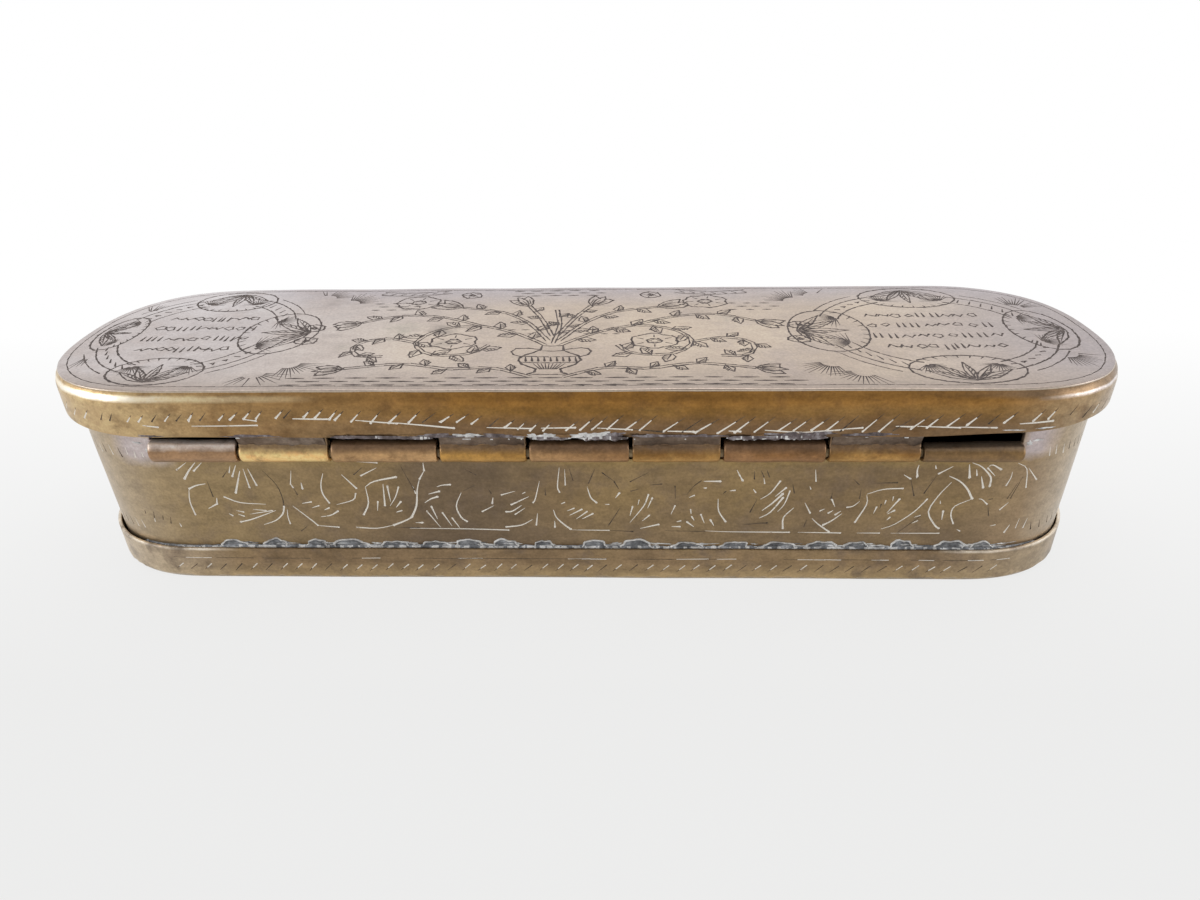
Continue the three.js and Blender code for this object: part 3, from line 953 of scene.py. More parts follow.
def oval_line(centre, rx, ry, count=12, waves=0, depth=0.0, start=0.0, sweep=2 * math.pi):
    """Points of an oval or of a part of one, with a scalloped border if there are waves."""
    turns = start + np.linspace(0, sweep, count, endpoint=sweep < 6.28)
    grow = 1 + depth * np.abs(np.sin(waves * turns / 2))
    return list(zip(centre[0] + rx * grow * np.cos(turns), centre[1] + ry * grow * np.sin(turns)))


def on_oval(centre, rx, ry, turn):
    return centre[0] + rx * math.cos(turn), centre[1] + ry * math.sin(turn)


def medallion(art, centre, rx, ry, facing):
    """An oval of shell and leaf work. facing is the side from which its leaves open."""
    art.carve(oval_line(centre, rx, ry, 14), 0.16, closed=True)
    c, s = math.cos(facing), math.sin(facing)
    root = (centre[0] - c * rx * 0.8, centre[1] - s * ry * 0.8)
    for k in range(5):
        turn = facing + (k - 2) * 0.4
        length = 1.3 - 0.14 * abs(k - 2)
        tip = (root[0] + math.cos(turn) * rx * length, root[1] + math.sin(turn) * ry * length)
        leaf(art, root, tip, 0.12)
    for side in (1, -1):
        base = (centre[0] + c * rx * 0.35 - s * rx * 0.62 * side,
                centre[1] + s * ry * 0.35 + c * ry * 0.62 * side)
        fan(art, base, facing + math.pi + side * 0.4, 2.4, 0.3, min(rx, ry) * 0.62)
    for k in range(9):
        turn = facing + (k - 4) * 0.24
        a, b = (on_oval(centre, rx * g, ry * g, turn) for g in (0.97, 0.82))
        art.cut(a, b, 0.12, 0.05)


def small_ornament(art, centre, kind, size=1.0):
    """A wave, a lozenge or a pair of ticks: filling for a panel."""
    x, y = centre
    if kind == 0:
        places = [(-1.1, -0.5), (-0.4, 0.6), (0.4, -0.6), (1.1, 0.5)]
        art.carve([(x + a * size, y + b * size) for a, b in places], 0.15, chord=1.2)
    elif kind == 1:
        places = [(-0.9, 0), (0, 0.9), (0.9, 0), (0, -0.9)]
        art.carve([(x + a * size, y + b * size) for a, b in places], 0.13, chord=1.1, closed=True)
    else:
        for shift in (-0.5, 0.5):
            art.cut((x + shift, y + 0.9), (x + shift, y - 0.9), 0.07, 0.18)


def cartouche(art, centre, rx, ry, medallions, half_row):
    """A ring of ribbons with four medallions on it, and rows of small ornament inside.

    medallions are the half sizes of those at the left, the right and on both long sides."""
    for k in range(4):
        arc = oval_line(centre, rx, ry, 7, start=math.pi * (k / 2 + 0.12), sweep=math.pi * 0.26)
        ribbon(art, arc, 1.5, kind=k % 2)
        start = math.pi * (k / 2 + 0.16)
        outer = oval_line(centre, rx + 3.1, ry + 3.1, 7, start=start, sweep=math.pi * 0.18)
        art.carve(outer, 0.11, chord=1.8)
    x, y = centre
    left, right, side = medallions
    medallion(art, (x - rx, y), *left, 0.0)
    medallion(art, (x + rx, y), *right, math.pi)
    medallion(art, (x, y - ry), *side, math.pi / 2)
    medallion(art, (x, y + ry), *side, -math.pi / 2)
    for row, level in enumerate((6.6, 2.2, -2.4, -6.8)):
        half = half_row - 1.1 * abs(row - 1.5)
        for k in range(9):
            place = (x - half + 2 * half * k / 8 + art.rng.uniform(-0.25, 0.25),
                     y + level + art.rng.uniform(-0.3, 0.3))
            small_ornament(art, place, (row + k // 2) % 3, art.rng.uniform(0.8, 1.1))


def rosette(art, centre, size, petals):
    """A flower with a scalloped border, and an eye of dashes."""
    art.carve(oval_line(centre, size, size * 0.8, 4 * petals, petals, 0.18), 0.16, chord=1.2, closed=True)
    art.carve(oval_line(centre, size * 0.38, size * 0.32, 8), 0.15, chord=1.2, closed=True)
    for k in range(petals):
        turn = 2 * math.pi * (k + 0.5) / petals
        a, b = (on_oval(centre, size * g, size * g * 0.8, turn) for g in (0.95, 0.6))
        art.cut(a, b, 0.05, 0.11)
    for k in range(6):
        turn = k * math.pi / 3
        x, y = centre[0] + size * 0.2 * math.cos(turn), centre[1] + size * 0.2 * math.sin(turn)
        art.cut((x - 0.25, y), (x + 0.2, y), 0.06, 0.13)


def dash(art, centre, length, width):
    """A dash that is widest in its middle."""
    x, y = centre
    for side in (-1, 1):
        art.cut((x + side * length / 2, y), (x - side * 0.05, y), 0.06, width)


def dashes(art, corner, counts, step, length, width):
    """Rows of dashes, every second one shifted by half a step."""
    for row in range(counts[1]):
        for k in range(counts[0]):
            x = corner[0] + step[0] * (k + 0.5 * (row % 2)) + art.rng.uniform(-0.3, 0.3)
            dash(art, (x, corner[1] + step[1] * row), length * art.rng.uniform(0.8, 1.15), width)


def tulip(art, root, angle, size):
    """A cup flower on the end of a stem."""
    shapes = [
        [(0, 0), (0.45, -0.42), (1.25, -0.5), (1.0, -0.1)],
        [(0, 0), (0.45, 0.42), (1.25, 0.5), (1.0, 0.1)],
        [(0.1, 0), (0.75, -0.2), (1.4, 0), (0.75, 0.2), (0.1, 0)],
    ]
    for points in shapes:
        art.carve(turned(points, angle, root, size), 0.16)
    for k in (-2, -1, 0, 1, 2):
        a, b = turned([(0.3, 0.09 * k), (0.85, 0.17 * k)], angle, root, size)
        art.cut(b, a, 0.05, 0.11)


def scroll(art, points, leaf_size, gap=0.32):
    """A stem of two lines, with leaves on both sides in turn."""
    line = smooth(points)
    for side in (-gap, gap):
        art.carve([tuple(p) for p in beside(points, side)[::4]], 0.13, chord=2.2)
    for k, place in enumerate(range(4, len(line) - 3, 4)):
        a, b = line[place], line[place + 1]
        turn = math.atan2(b[1] - a[1], b[0] - a[0]) + (0.9 if k % 2 else -0.9)
        tip = (a[0] + 1.2 * leaf_size * math.cos(turn), a[1] + 1.2 * leaf_size * math.sin(turn))
        leaf(art, tuple(a), tip, 0.34)


def vase(art, x, y):
    """A footed vase with two handles, bands and gadroons."""
    for side in (-1, 1):
        body = [(1.6, 8.6), (1.9, 6.6), (4.6, 4.2), (4.2, 1.6), (1.5, -0.6), (2.9, -2.0)]
        handle = [(2.0, 7.0), (5.2, 7.8), (6.2, 5.6), (4.4, 4.2)]
        for line, width in ((body, 0.18), (handle, 0.16)):
            art.carve(turned([(side * a, b) for a, b in line], 0, (x, y)), width)
    for level, half in ((8.6, 1.6), (6.6, 1.9), (4.4, 4.5), (2.2, 4.3), (-2.0, 2.9)):
        art.carve([(x - half, y + level), (x, y + level - 0.25), (x + half, y + level)], 0.13)
    for k in range(9):
        art.cut((x - 3.8 + 0.95 * k, y + 4.1), (x - 3.6 + 0.95 * k, y + 2.6), 0.07, 0.17)
        art.cut((x - 2.4 + 0.6 * k, y + 1.7), (x - 1.2 + 0.3 * k, y - 0.3), 0.05, 0.11)


VASE_X = -4.0


def bouquet(art, side):
    """One half of the growth from the vase: three stems with a flower each, and a curl round a rosette."""
    def at(points):
        return [(VASE_X + side * x, y) for x, y in points]

    up = math.pi / 2
    curl = [(1.2, -5.8), (6.0, -1.0), (12.5, 2.6), (19.0, 1.0), (22.0, -4.5), (18.5, -9.4), (12.5, -9.0),
            (10.2, -5.6)]
    scroll(art, at(curl), 2.7)
    rosette(art, at([(16.0, -4.0)])[0], 3.4, 6)
    scroll(art, at([(12.5, 2.6), (19.5, 6.6), (27.0, 7.6), (33.0, 4.6)]), 2.6)
    tulip(art, at([(33.0, 4.6)])[0], up - side * up * 1.3, 3.8)
    scroll(art, at([(0.9, -4.0), (4.8, 4.0), (10.0, 9.2), (17.0, 11.4)]), 2.5)
    tulip(art, at([(17.0, 11.4)])[0], up - side * up * 0.75, 4.2)
    scroll(art, at([(0.4, -2.0), (2.8, 6.0), (5.4, 12.0)]), 2.1)
    tulip(art, at([(5.4, 12.0)])[0], up - side * 0.5, 3.9)
    scroll(art, at([(22.0, -4.5), (27.5, -2.6), (31.5, -5.5), (30.0, -9.8), (26.0, -10.0)]), 2.3)
    scroll(art, at([(2.4, -17.6), (8.5, -14.4), (15.0, -14.8), (22.0, -12.9), (30.5, -14.6)]), 2.2)
    tulip(art, at([(30.5, -14.6)])[0], up - side * up * 1.1, 3.4)
    rosette(art, at([(25.5, 14.0)])[0], 3.5, 7)
    ribbon(art, at([(20.5, 19.6), (27.0, 18.4), (34.0, 19.2)]), 0.8)


def on_plate(cut):
    """Whether a cut lies inside the lid's border."""
    for x, y in cut[:2]:
        across = abs(y)
        beyond = max(0.0, abs(x) - STRAIGHT)
        if (across ** END_POWER + beyond ** END_POWER) ** (1 / END_POWER) > PLATE_REACH - 1.0:
            return False
    return True


# How much wider the lid's lines are than the sizes given with its motifs
LID_LINES = 1.3
# Tufts of hatching between the large forms: root, direction and spread
TUFTS = (
    (-43.5, -12.5, -0.9, 1.7), (38.0, -12.6, -2.1, 1.7), (37.0, 14.0, 2.3, 1.6), (-42.0, 14.0, 0.9, 1.6),
    (-47.5, -16.0, -1.2, 2.2), (41.8, -16.0, -2.0, 2.2), (-76.0, 9.0, 2.2, 1.6), (-76.0, -9.0, -2.2, 1.6),
    (73.5, 9.5, 1.0, 1.6), (73.5, -9.5, -1.0, 1.6), (-47.0, 16.6, 1.2, 2.0), (41.0, 16.6, 2.0, 2.0),
)


def lid_ornament():
    """Two rounds of medallions with a vase of flowers between the two, and a line along the border."""
    art = Engraving(11, steepness=0.7)
    cartouche(art, (-62.8, 0.0), 13.4, 15.2, ((3.3, 7.2), (6.2, 8.8), (7.2, 4.9)), 8.3)
    cartouche(art, (57.0, 0.0), 16.8, 15.2, ((6.4, 8.8), (4.9, 8.4), (8.4, 4.9)), 9.8)
    vase(art, VASE_X, -14.6)
    for side in (-1, 1):
        bouquet(art, side)
    scroll(art, [(VASE_X, -5.0), (VASE_X + 0.5, 3.0), (VASE_X - 0.4, 10.0)], 2.0)
    dashes(art, (-41.0, -20.2), (16, 3), (4.7, 1.15), 3.2, 0.18)
    dashes(art, (-12.0, 17.4), (5, 3), (3.4, 1.3), 2.2, 0.17)
    for corner in ((-36.5, 10.6), (26.0, 9.8)):
        dashes(art, corner, (3, 3), (2.8, 1.6), 1.6, 0.17)
    for corner in ((-12.5, -1.0), (1.5, -1.0)):
        dashes(art, corner, (3, 2), (2.2, 1.8), 1.2, 0.15)
    for x, y, angle, spread in TUFTS:
        fan(art, (x, y), angle, spread, 1.8, 5.4)
    for x, y in ((-44.5, 2.0), (-44.0, -3.5), (35.0, -3.5), (36.0, 2.5), (-20.5, 17.8), (12.0, 17.8)):
        rosette(art, (x, y), 1.7, 5)
    art.cuts = [(a, b, tail * LID_LINES, head * LID_LINES, fill) for a, b, tail, head, fill in art.cuts
                if on_plate((a, b))]
    art.carve(oval_points(PLATE_REACH - 1.3, 1.5), 0.11, chord=2.0, closed=True)
    return art


# Ornament of the skirt, the rim and the wall

STROKE_STEP = 2.45

# The skirt's slanting strokes, seen from the hinge side: where the head of each lies. The tables of heads
# and of the line of cuts hold places that were traced in the photograph and that a program turned
# into runs and heights with the fitted camera. The rhythm sums up the same strokes
SKIRT_HEADS = (
    -69.1, -67.5, -64.6, -62.9, -60.9, -59.0, -57.3, -55.5, -53.8, -51.0, -49.4, -47.4, -45.6, -42.7, -41.5,
    -38.6, -37.0, -35.0, -34.2, -31.9, -29.1, -26.5, -23.6, -21.6, -19.0, -16.7, -14.6, -12.0, -9.9, -8.0,
    -6.3, -4.4, -1.1, 0.9, 2.6, 4.8, 7.4, 9.4, 12.8, 15.5, 17.3, 20.5, 22.9, 25.7, 29.0, 31.2, 33.7, 35.8,
    37.8, 40.9, 43.2, 45.2, 47.6, 49.8, 52.6, 55.3, 58.2, 60.3, 64.4, 66.5, 69.9,
)
SKIRT_DARK_HEADS = (
    -69.1, -67.5, -64.6, -60.9, -59.0, -57.3, -53.8, -41.5, -21.6, -12.0, -8.0, 15.5, 45.2, 58.2, 69.9,
)
# How they change along the skirt: place, head's height above the ground, lean and rise of a stroke
SKIRT_RHYTHM = np.array([
    (-70, 29.3, 0.7, 1.0), (-50, 29.8, 1.1, 1.1), (-38, 30.2, 1.2, 1.2), (-30, 29.2, 1.7, 1.6),
    (-17, 29.4, 1.6, 1.2), (-6, 27.9, 1.1, 1.1), (5, 28.2, 2.1, 1.8), (20, 27.5, 3.0, 2.2),
    (33, 28.0, 1.9, 1.7), (43, 27.7, 2.5, 2.3), (55, 28.8, 1.5, 1.5), (70, 29.8, 0.9, 1.2),
])
# The line of cuts below them: start, end and the heights of the two
SKIRT_LINE = (
    (-62.4, -60.2, 28.9, 28.6), (-55.2, -45.6, 28.8, 28.9), (-47.5, -45.6, 29.9, 29.6),
    (-40.2, -34.8, 30.0, 29.9), (-31.2, -25.2, 29.7, 29.2), (-25.4, -17.1, 29.3, 28.4),
    (-12.4, -6.0, 28.5, 28.3), (-4.6, 0.3, 28.4, 28.5), (3.4, 8.4, 28.4, 28.1), (8.2, 12.7, 28.2, 27.8),
    (13.4, 17.1, 27.9, 27.8), (22.1, 23.8, 27.9, 27.8), (27.2, 32.4, 28.0, 27.6), (32.0, 38.2, 27.6, 28.1),
    (38.2, 40.9, 28.2, 28.4), (45.5, 47.9, 28.6, 28.5), (48.5, 54.5, 28.6, 28.4), (54.2, 59.5, 28.5, 28.4),
    (62.6, 67.4, 29.0, 29.2),
)


# How far the skirt's lower edge rises at its left and at its right end, and where that starts
SKIRT_END_RISE = (2.1, 2.5)
RISE_START = 64


def eased(value, low, high):
    """From 0 at low to 1 at high, with a soft start and end."""
    share = max(0.0, min(1.0, (value - low) / (high - low)))
    return share * share * (3 - 2 * share)


def end_rise(oval, s):
    """How far the skirt's lower edge lies above its height in the middle at a run s."""
    return eased(min(abs(s), oval.half - abs(s)), RISE_START, oval.half / 2) * SKIRT_END_RISE[s > 0]


# Up to this run from the middle of the hinge side the strokes are traced, and beyond it placed by a rule
SKIRT_TRACED = 72.5


def skirt_ornament(oval):
    """Slanting strokes on a line of overlapping cuts, round the skirt, smaller and darker at its ends."""
    art = Engraving(21, steepness=0.55)
    rng = art.rng
    foot = SKIRT_LOW[2]

    def slant(s, head, lean, rise, width, pale):
        art.stroke([(s + 1.2 * lean, head + 1.2 * rise), (s, head)], width, pale, 0.25, bare=0.3)

    for s in SKIRT_HEADS:
        head, lean, rise = (np.interp(s, SKIRT_RHYTHM[:, 0], SKIRT_RHYTHM[:, k]) for k in (1, 2, 3))
        dark = s in SKIRT_DARK_HEADS
        width, pale = (0.10, 0.05) if dark else (0.135, 0.97)
        slant(s, head - foot, lean * rng.uniform(0.85, 1.1), rise * rng.uniform(0.85, 1.1), width, pale)
    for first, last, low, high in SKIRT_LINE:
        art.stroke([(first, low - foot), (last, high - foot)], 0.12, 0.95, 0.5, bare=0.0)
    s = SKIRT_TRACED
    while s < 2 * oval.half - SKIRT_TRACED:
        place = s if s < oval.half else s - 2 * oval.half
        if abs(abs(place) - oval.half) > 3.2:
            end = math.exp(-((abs(place) - 88) / 16) ** 2)
            level = 2.1 - 0.8 * end + end_rise(oval, place)
            slant(place, level + rng.uniform(-0.2, 0.2), 1.5 - 0.8 * end, 1.5 - 0.4 * end,
                  0.13 - 0.04 * end, 0.8 - 0.75 * end)
            if rng.random() < 0.4 - 0.35 * end:
                low = level - 0.5
                art.stroke([(place, low), (place + 4.6, low + rng.uniform(-0.1, 0.25))], 0.10, 0.8)
        s += STROKE_STEP + rng.uniform(-0.35, 0.35)
    return art


def rim_ornament(oval):
    """A fine broken line near the rim's top, over slanting strokes."""
    art = Engraving(31, steepness=0.5)
    rng = art.rng
    low, high, line = RIM_LOW[2] + 1.9, RIM_LOW[2] + 3.2, RIM_LOW[2] + 4.35
    s = -oval.half + 3
    while s < oval.half - 9:
        if abs(s) < 66 or abs(s) > oval.half - 66:
            art.stroke([(s, low + rng.uniform(-0.1, 0.15)), (s + 1.35, high + rng.uniform(-0.15, 0.1))],
                       0.095, 0.6, 0.4, knob=False)
            if rng.random() < 0.6:
                end = (s + rng.uniform(3, 8), line + rng.uniform(-0.05, 0.08))
                art.stroke([(s, line), end], 0.06, 0.6, 0.6, knob=False)
        s += STROKE_STEP + rng.uniform(-0.2, 0.2)
    return art


# Kinds of strokes in the wall's frieze: half width and share that holds pale dried polish
WIDE, PLAIN, FINE, BARE = (0.145, 0.98), (0.118, 0.97), (0.09, 0.85), (0.085, 0.04)

# The frieze, seen from the hinge side: each row is a kind and the places of a stroke, tail first, as
# run from the middle and height above the ground. They too were traced in the photograph and
# turned into these numbers by a program, some with fewer points
FRIEZE = (
    # Square curl with three flicks above it
    (PLAIN, -59, 21.5, -60.8, 20.2), (WIDE, -57.6, 21.5, -58.9, 20.1, -60, 18.6),
    (PLAIN, -56.6, 21.5, -58.2, 20), (WIDE, -57, 17.7, -58.5, 17.4, -59.8, 16.8),
    (PLAIN, -59.8, 16.8, -60.3, 14.4, -60.1, 11.9), (BARE, -56.6, 18.1, -56.4, 15.3),
    (PLAIN, -55.9, 15.1, -56.1, 14.2), (WIDE, -57.7, 13.1, -56.1, 14),
    # Tuft of six flicks
    (BARE, -53, 20.1, -54, 18.9), (FINE, -52.4, 20.9, -52.8, 19.7), (PLAIN, -51.5, 21, -52.5, 19),
    (WIDE, -51.1, 20, -51.9, 18, -52.7, 16), (PLAIN, -50.5, 20.4, -50.3, 17),
    (PLAIN, -49.8, 20.4, -49.1, 17.4),
    # First stem with the leaf on its left
    (BARE, -47.6, 20.1, -46, 17.5, -45.6, 15.1, -45.7, 13.6),
    (PLAIN, -49.6, 10, -47.6, 10.8, -46.2, 12.1, -45.7, 13.5),
    (FINE, -45.3, 12.9, -45.5, 11.5, -45.4, 10.2), (PLAIN, -48.5, 13.9, -52.4, 14.2, -54.7, 15.3),
    (FINE, -53.4, 12.7, -52.3, 12.4), (PLAIN, -54.7, 12.1, -54.2, 11.7), (PLAIN, -53.3, 12, -52.4, 11.6),
    (PLAIN, -47.2, 12.7, -51.1, 11.1, -53.3, 10.5), (FINE, -51.4, 12, -47.7, 12.7),
    (FINE, -50.7, 12.9, -48.7, 12.7), (BARE, -43.2, 20.1, -43.8, 17.6), (PLAIN, -43.7, 17.6, -43.5, 17),
    (BARE, -43.5, 17, -43.1, 15.7), (PLAIN, -42.1, 17.9, -42.1, 16.8), (PLAIN, -42.7, 14.1, -41.2, 14.4),
    (PLAIN, -41.3, 13.3, -40.1, 13.7), (PLAIN, -39.4, 12.9, -38.6, 13.3),
    (PLAIN, -40.2, 11.6, -38.6, 11.9, -37.3, 12.7),
    # First ring, on a stem that rises from the ground line
    (PLAIN, -38.4, 19.6, -39.1, 17.6, -39.1, 15.8, -38.4, 14.2), (FINE, -37.3, 13.9, -34.6, 14.8, -34, 16),
    (PLAIN, -35.6, 19.4, -33.7, 16.9), (PLAIN, -44.3, 13.6, -42, 11.1, -41, 9.9),
    (FINE, -41, 9.9, -37.7, 9.6), (BARE, -42.8, 9.7, -43.9, 8.8),
    (WIDE, -25, 13.4, -25.8, 11.7, -27.2, 10.8, -29, 10), (PLAIN, -29, 10, -31.7, 9.4, -34.9, 9.6),
    (PLAIN, -30.1, 20.6, -32.7, 19.2), (BARE, -32.2, 20.7, -33.7, 19.4),
    # Square leaf filled with flicks
    (WIDE, -32.3, 17.2, -30.8, 18.2, -27.3, 19), (PLAIN, -32.3, 17.2, -32.3, 14.2, -33.4, 12),
    (PLAIN, -29.5, 17.7, -29.8, 13.7), (PLAIN, -28.8, 14.5, -28.9, 17.4),
    (PLAIN, -29, 13.7, -27.9, 15.4, -27.2, 17.2), (PLAIN, -31.1, 12.8, -30.8, 14.5),
    (WIDE, -28.1, 13.4, -27.2, 14.5), (PLAIN, -28.2, 12.5, -27.3, 12.8),
    (BARE, -26.4, 21.1, -25.4, 18.2, -24.8, 16.6), (FINE, -25, 17.4, -24.7, 16),
    (FINE, -32.9, 21.7, -29.8, 21.5),
    # Second stem, with leaves on its right
    (PLAIN, -22.9, 21.5, -22.9, 20.1), (PLAIN, -22.9, 20.1, -23.8, 18.6),
    (WIDE, -23.8, 18.6, -24.4, 16.6, -24.9, 13.7, -25.9, 11.6),
    (WIDE, -21.3, 17.2, -20.5, 17.5, -19.2, 17.6), (PLAIN, -22.7, 15.9, -21, 16.4),
    (WIDE, -23.5, 14.3, -22.5, 15, -21.4, 15.4), (PLAIN, -21.6, 9.6, -23.4, 12.7),
    (PLAIN, -21.9, 11.2, -22.6, 13.6), (PLAIN, -19.8, 9.9, -21, 12.4), (PLAIN, -18.6, 9.5, -19.6, 11.4),
    (PLAIN, -25.4, 10.5, -24.3, 10.5), (FINE, -29.1, 9.6, -24.9, 9.5),
    (FINE, -26.5, 9.4, -17.6, 9.3, -10.9, 9.1), (PLAIN, -17.7, 16.1, -18.7, 13.7, -18.2, 11.6, -17.3, 10.7),
    (BARE, -16.7, 20.3, -15.1, 19.3), (BARE, -17.4, 16.4, -15.6, 17.4), (BARE, -13.5, 16.9, -13.1, 15.9),
    (PLAIN, -12.9, 15.2, -13.1, 14.1), (PLAIN, -12.9, 13.7, -14.8, 12.6), (FINE, -9.4, 16.4, -11.6, 15.7),
    (FINE, -8.4, 15.9, -7.9, 16.2), (PLAIN, -7.4, 15.4, -10.2, 13.9),
    (PLAIN, -8.6, 13.8, -10.1, 12.7, -11.1, 12.6), (FINE, -8.1, 13.3, -9.7, 12.1),
    (FINE, -5.6, 18.2, -6.4, 15, -6.8, 14.3), (BARE, -4.8, 17, -4.8, 15.7), (PLAIN, -6.2, 12.3, -6.5, 10.1),
    (PLAIN, -7, 11.2, -8.8, 10.1, -11.3, 9.7),
    # Middle ring on its stem
    (FINE, -2.5, 20.6, -2.9, 17.3, -2.6, 16.2), (FINE, -1.7, 20.3, -1.7, 17.5),
    (BARE, -1, 20.4, -0.5, 18.3), (FINE, -2.5, 14.1, -1.9, 14.4), (PLAIN, -1.6, 12.8, -0.5, 13.3),
    (PLAIN, -1.2, 12, 0.7, 13.1), (PLAIN, -0.2, 11.3, 1.5, 12.7), (PLAIN, 0.7, 11.3, 2.4, 12.3),
    (WIDE, -3.7, 13, -3.3, 11.6, -2.3, 10.4, -1.1, 9.3), (PLAIN, -3.6, 10.9, -3.6, 9.7),
    (FINE, -1.1, 9.2, 4.9, 9.1), (BARE, 4.9, 9.1, 8.6, 8.9), (BARE, 2.8, 20.3, 1.8, 17.8),
    (PLAIN, 1.6, 17.2, 2.1, 15.3, 3, 14.3), (FINE, 4.3, 14, 4.9, 14), (PLAIN, 5.9, 15.2, 6.5, 16.1),
    (FINE, 6.4, 16.8, 5.7, 18.1), (BARE, 5.7, 18.2, 3.9, 19.7), (BARE, 10.8, 19.7, 8.1, 18.1),
    (BARE, 9.5, 16.8, 8.2, 16.4), (PLAIN, 8.1, 11.9, 8.5, 13.6), (FINE, 9.3, 13.9, 9.5, 14.8),
    (PLAIN, 8.1, 10.6, 10.2, 13.7, 10.9, 15.8), (PLAIN, 10.8, 13.3, 11.5, 15.2),
    (PLAIN, 10, 10.9, 11.1, 12), (BARE, 6.6, 13.4, 4.8, 10.1), (PLAIN, 9.7, 9.5, 12.6, 10.3),
    (BARE, 11.1, 17.5, 12.9, 17.7), (FINE, 15, 15, 14.9, 17.3), (FINE, 14.4, 12.2, 15, 13.8),
    # Half ring over a tuft
    (BARE, 16.7, 15.8, 17.7, 17.3, 18.8, 18.3), (WIDE, 19.2, 18.2, 21.7, 18.2), (PLAIN, 19.2, 17, 19.6, 17),
    (PLAIN, 17.1, 15.3, 17.9, 15.7), (PLAIN, 17.5, 12.3, 17.4, 13.1), (PLAIN, 18, 11.1, 17.6, 11.8),
    (PLAIN, 19.6, 10.6, 19, 12.2), (PLAIN, 21.1, 10.1, 20.5, 11.2), (PLAIN, 15.3, 10.8, 16, 11),
    (PLAIN, 14.6, 9.9, 15.9, 9.9), (PLAIN, 18, 9.9, 16.9, 10.8), (BARE, 13.5, 9.1, 19.8, 9),
    (BARE, 22.2, 16, 22.6, 16.4), (PLAIN, 23.2, 16.5, 24, 16.6), (PLAIN, 21.5, 15, 21.7, 12.8, 22.9, 10.8),
    (BARE, 24, 20.2, 24.5, 19.2), (PLAIN, 24.5, 19.2, 25, 18.3), (BARE, 26.6, 20, 26.7, 18.6),
    (BARE, 27.6, 20.1, 28.1, 19), (FINE, 28.1, 18.8, 28.3, 17.8), (BARE, 28.4, 20.3, 28.9, 19),
    (PLAIN, 26.7, 16.8, 27.1, 16.2),
    # Sheaf of long flicks
    (PLAIN, 27.9, 15, 29.3, 16.1, 30.6, 18.3), (PLAIN, 30.1, 15.5, 31.6, 17.1),
    (WIDE, 28.3, 12.9, 29.7, 14.2, 31.2, 16), (WIDE, 28, 11.5, 29.6, 12.6, 31.3, 15.3),
    (PLAIN, 30.7, 12.7, 31.6, 14.1, 32.2, 16.5), (BARE, 27.4, 15, 26.5, 12.6),
    (BARE, 32.5, 17.7, 32.9, 16.1), (PLAIN, 33.1, 13.4, 31.7, 11.6, 31.8, 9.5),
    (PLAIN, 25.7, 10.3, 29.3, 10.6), (FINE, 19.8, 9.1, 24, 8.9, 32.9, 8.8), (PLAIN, 34.7, 14.3, 35.7, 12.4),
    (FINE, 35.1, 17.3, 35.3, 16.8), (BARE, 35.6, 20.3, 35.9, 18.2), (PLAIN, 37.8, 13.2, 37.1, 12.8),
    (PLAIN, 39.1, 12.9, 38.4, 12.4), (PLAIN, 40.3, 12.8, 39.5, 12.1),
    (WIDE, 40.5, 12.3, 39, 10.9, 37.9, 10.2), (PLAIN, 36.1, 11.4, 37.2, 10.3, 39, 8.9),
    (FINE, 35.3, 11.2, 35, 9.9), (BARE, 38.6, 16.1, 38.5, 15.1), (PLAIN, 39.3, 13.6, 38.7, 14.9),
    (FINE, 34.2, 8.8, 40.8, 8.7), (FINE, 43.3, 8.7, 46.8, 8.7),
    # Corner of lines round a sheaf
    (PLAIN, 42.9, 14.6, 42, 13.7, 41.1, 13.5), (BARE, 41.4, 18.6, 42.4, 17.6),
    (BARE, 42.8, 16.9, 42.8, 15.1), (PLAIN, 43.8, 15.9, 46.1, 16.8, 49, 17),
    (PLAIN, 43.8, 15.7, 44, 14, 42.7, 10.7), (PLAIN, 45.3, 12.4, 45.6, 13.6),
    (PLAIN, 46.1, 13.3, 46.2, 14.1), (PLAIN, 46.7, 14.1, 46.8, 14.8), (FINE, 47.8, 14.7, 47.8, 15.5),
    (PLAIN, 47.3, 12.5, 48.8, 15.1), (PLAIN, 47.4, 12.3, 48.4, 13), (PLAIN, 47.5, 11.2, 47.9, 11.7),
    (BARE, 44.4, 17.9, 48, 18), (PLAIN, 48.7, 19.4, 49.8, 18.7), (BARE, 49.8, 18.7, 50.8, 15.7),
    (WIDE, 50.6, 21.1, 50.5, 20.2, 50.7, 19.1), (PLAIN, 46.9, 9.5, 48.8, 10.4, 51.3, 12.7, 52.9, 15.1),
    (FINE, 51.5, 11.7, 52.4, 12.1), (FINE, 51.4, 10.6, 52.2, 11.1), (BARE, 49.3, 8.6, 52.4, 11.9),
    (FINE, 48.5, 8.7, 55.9, 8.7),
    # Large open scroll and the tuft above it
    (PLAIN, 53, 21.1, 53.2, 20.5), (PLAIN, 55.6, 20.9, 53.7, 19.6), (BARE, 53.5, 19.3, 52.2, 16.1),
    (WIDE, 55.4, 19.2, 57.1, 18.3, 58.5, 16.9, 59.6, 15.1),
    (PLAIN, 55.9, 18.1, 54.5, 15.8, 53.5, 12.8, 54.9, 10.3, 55.7, 9.6), (FINE, 54.9, 14.8, 55, 14.3),
    (PLAIN, 59.6, 15.1, 57.3, 13.8, 57, 12.2, 57.7, 10.5), (PLAIN, 58.5, 9.4, 59, 9.1),
    (PLAIN, 55.8, 11.3, 55.7, 12.9), (WIDE, 57.9, 21.2, 58.4, 18.9), (FINE, 59.1, 20.4, 59.4, 19.3),
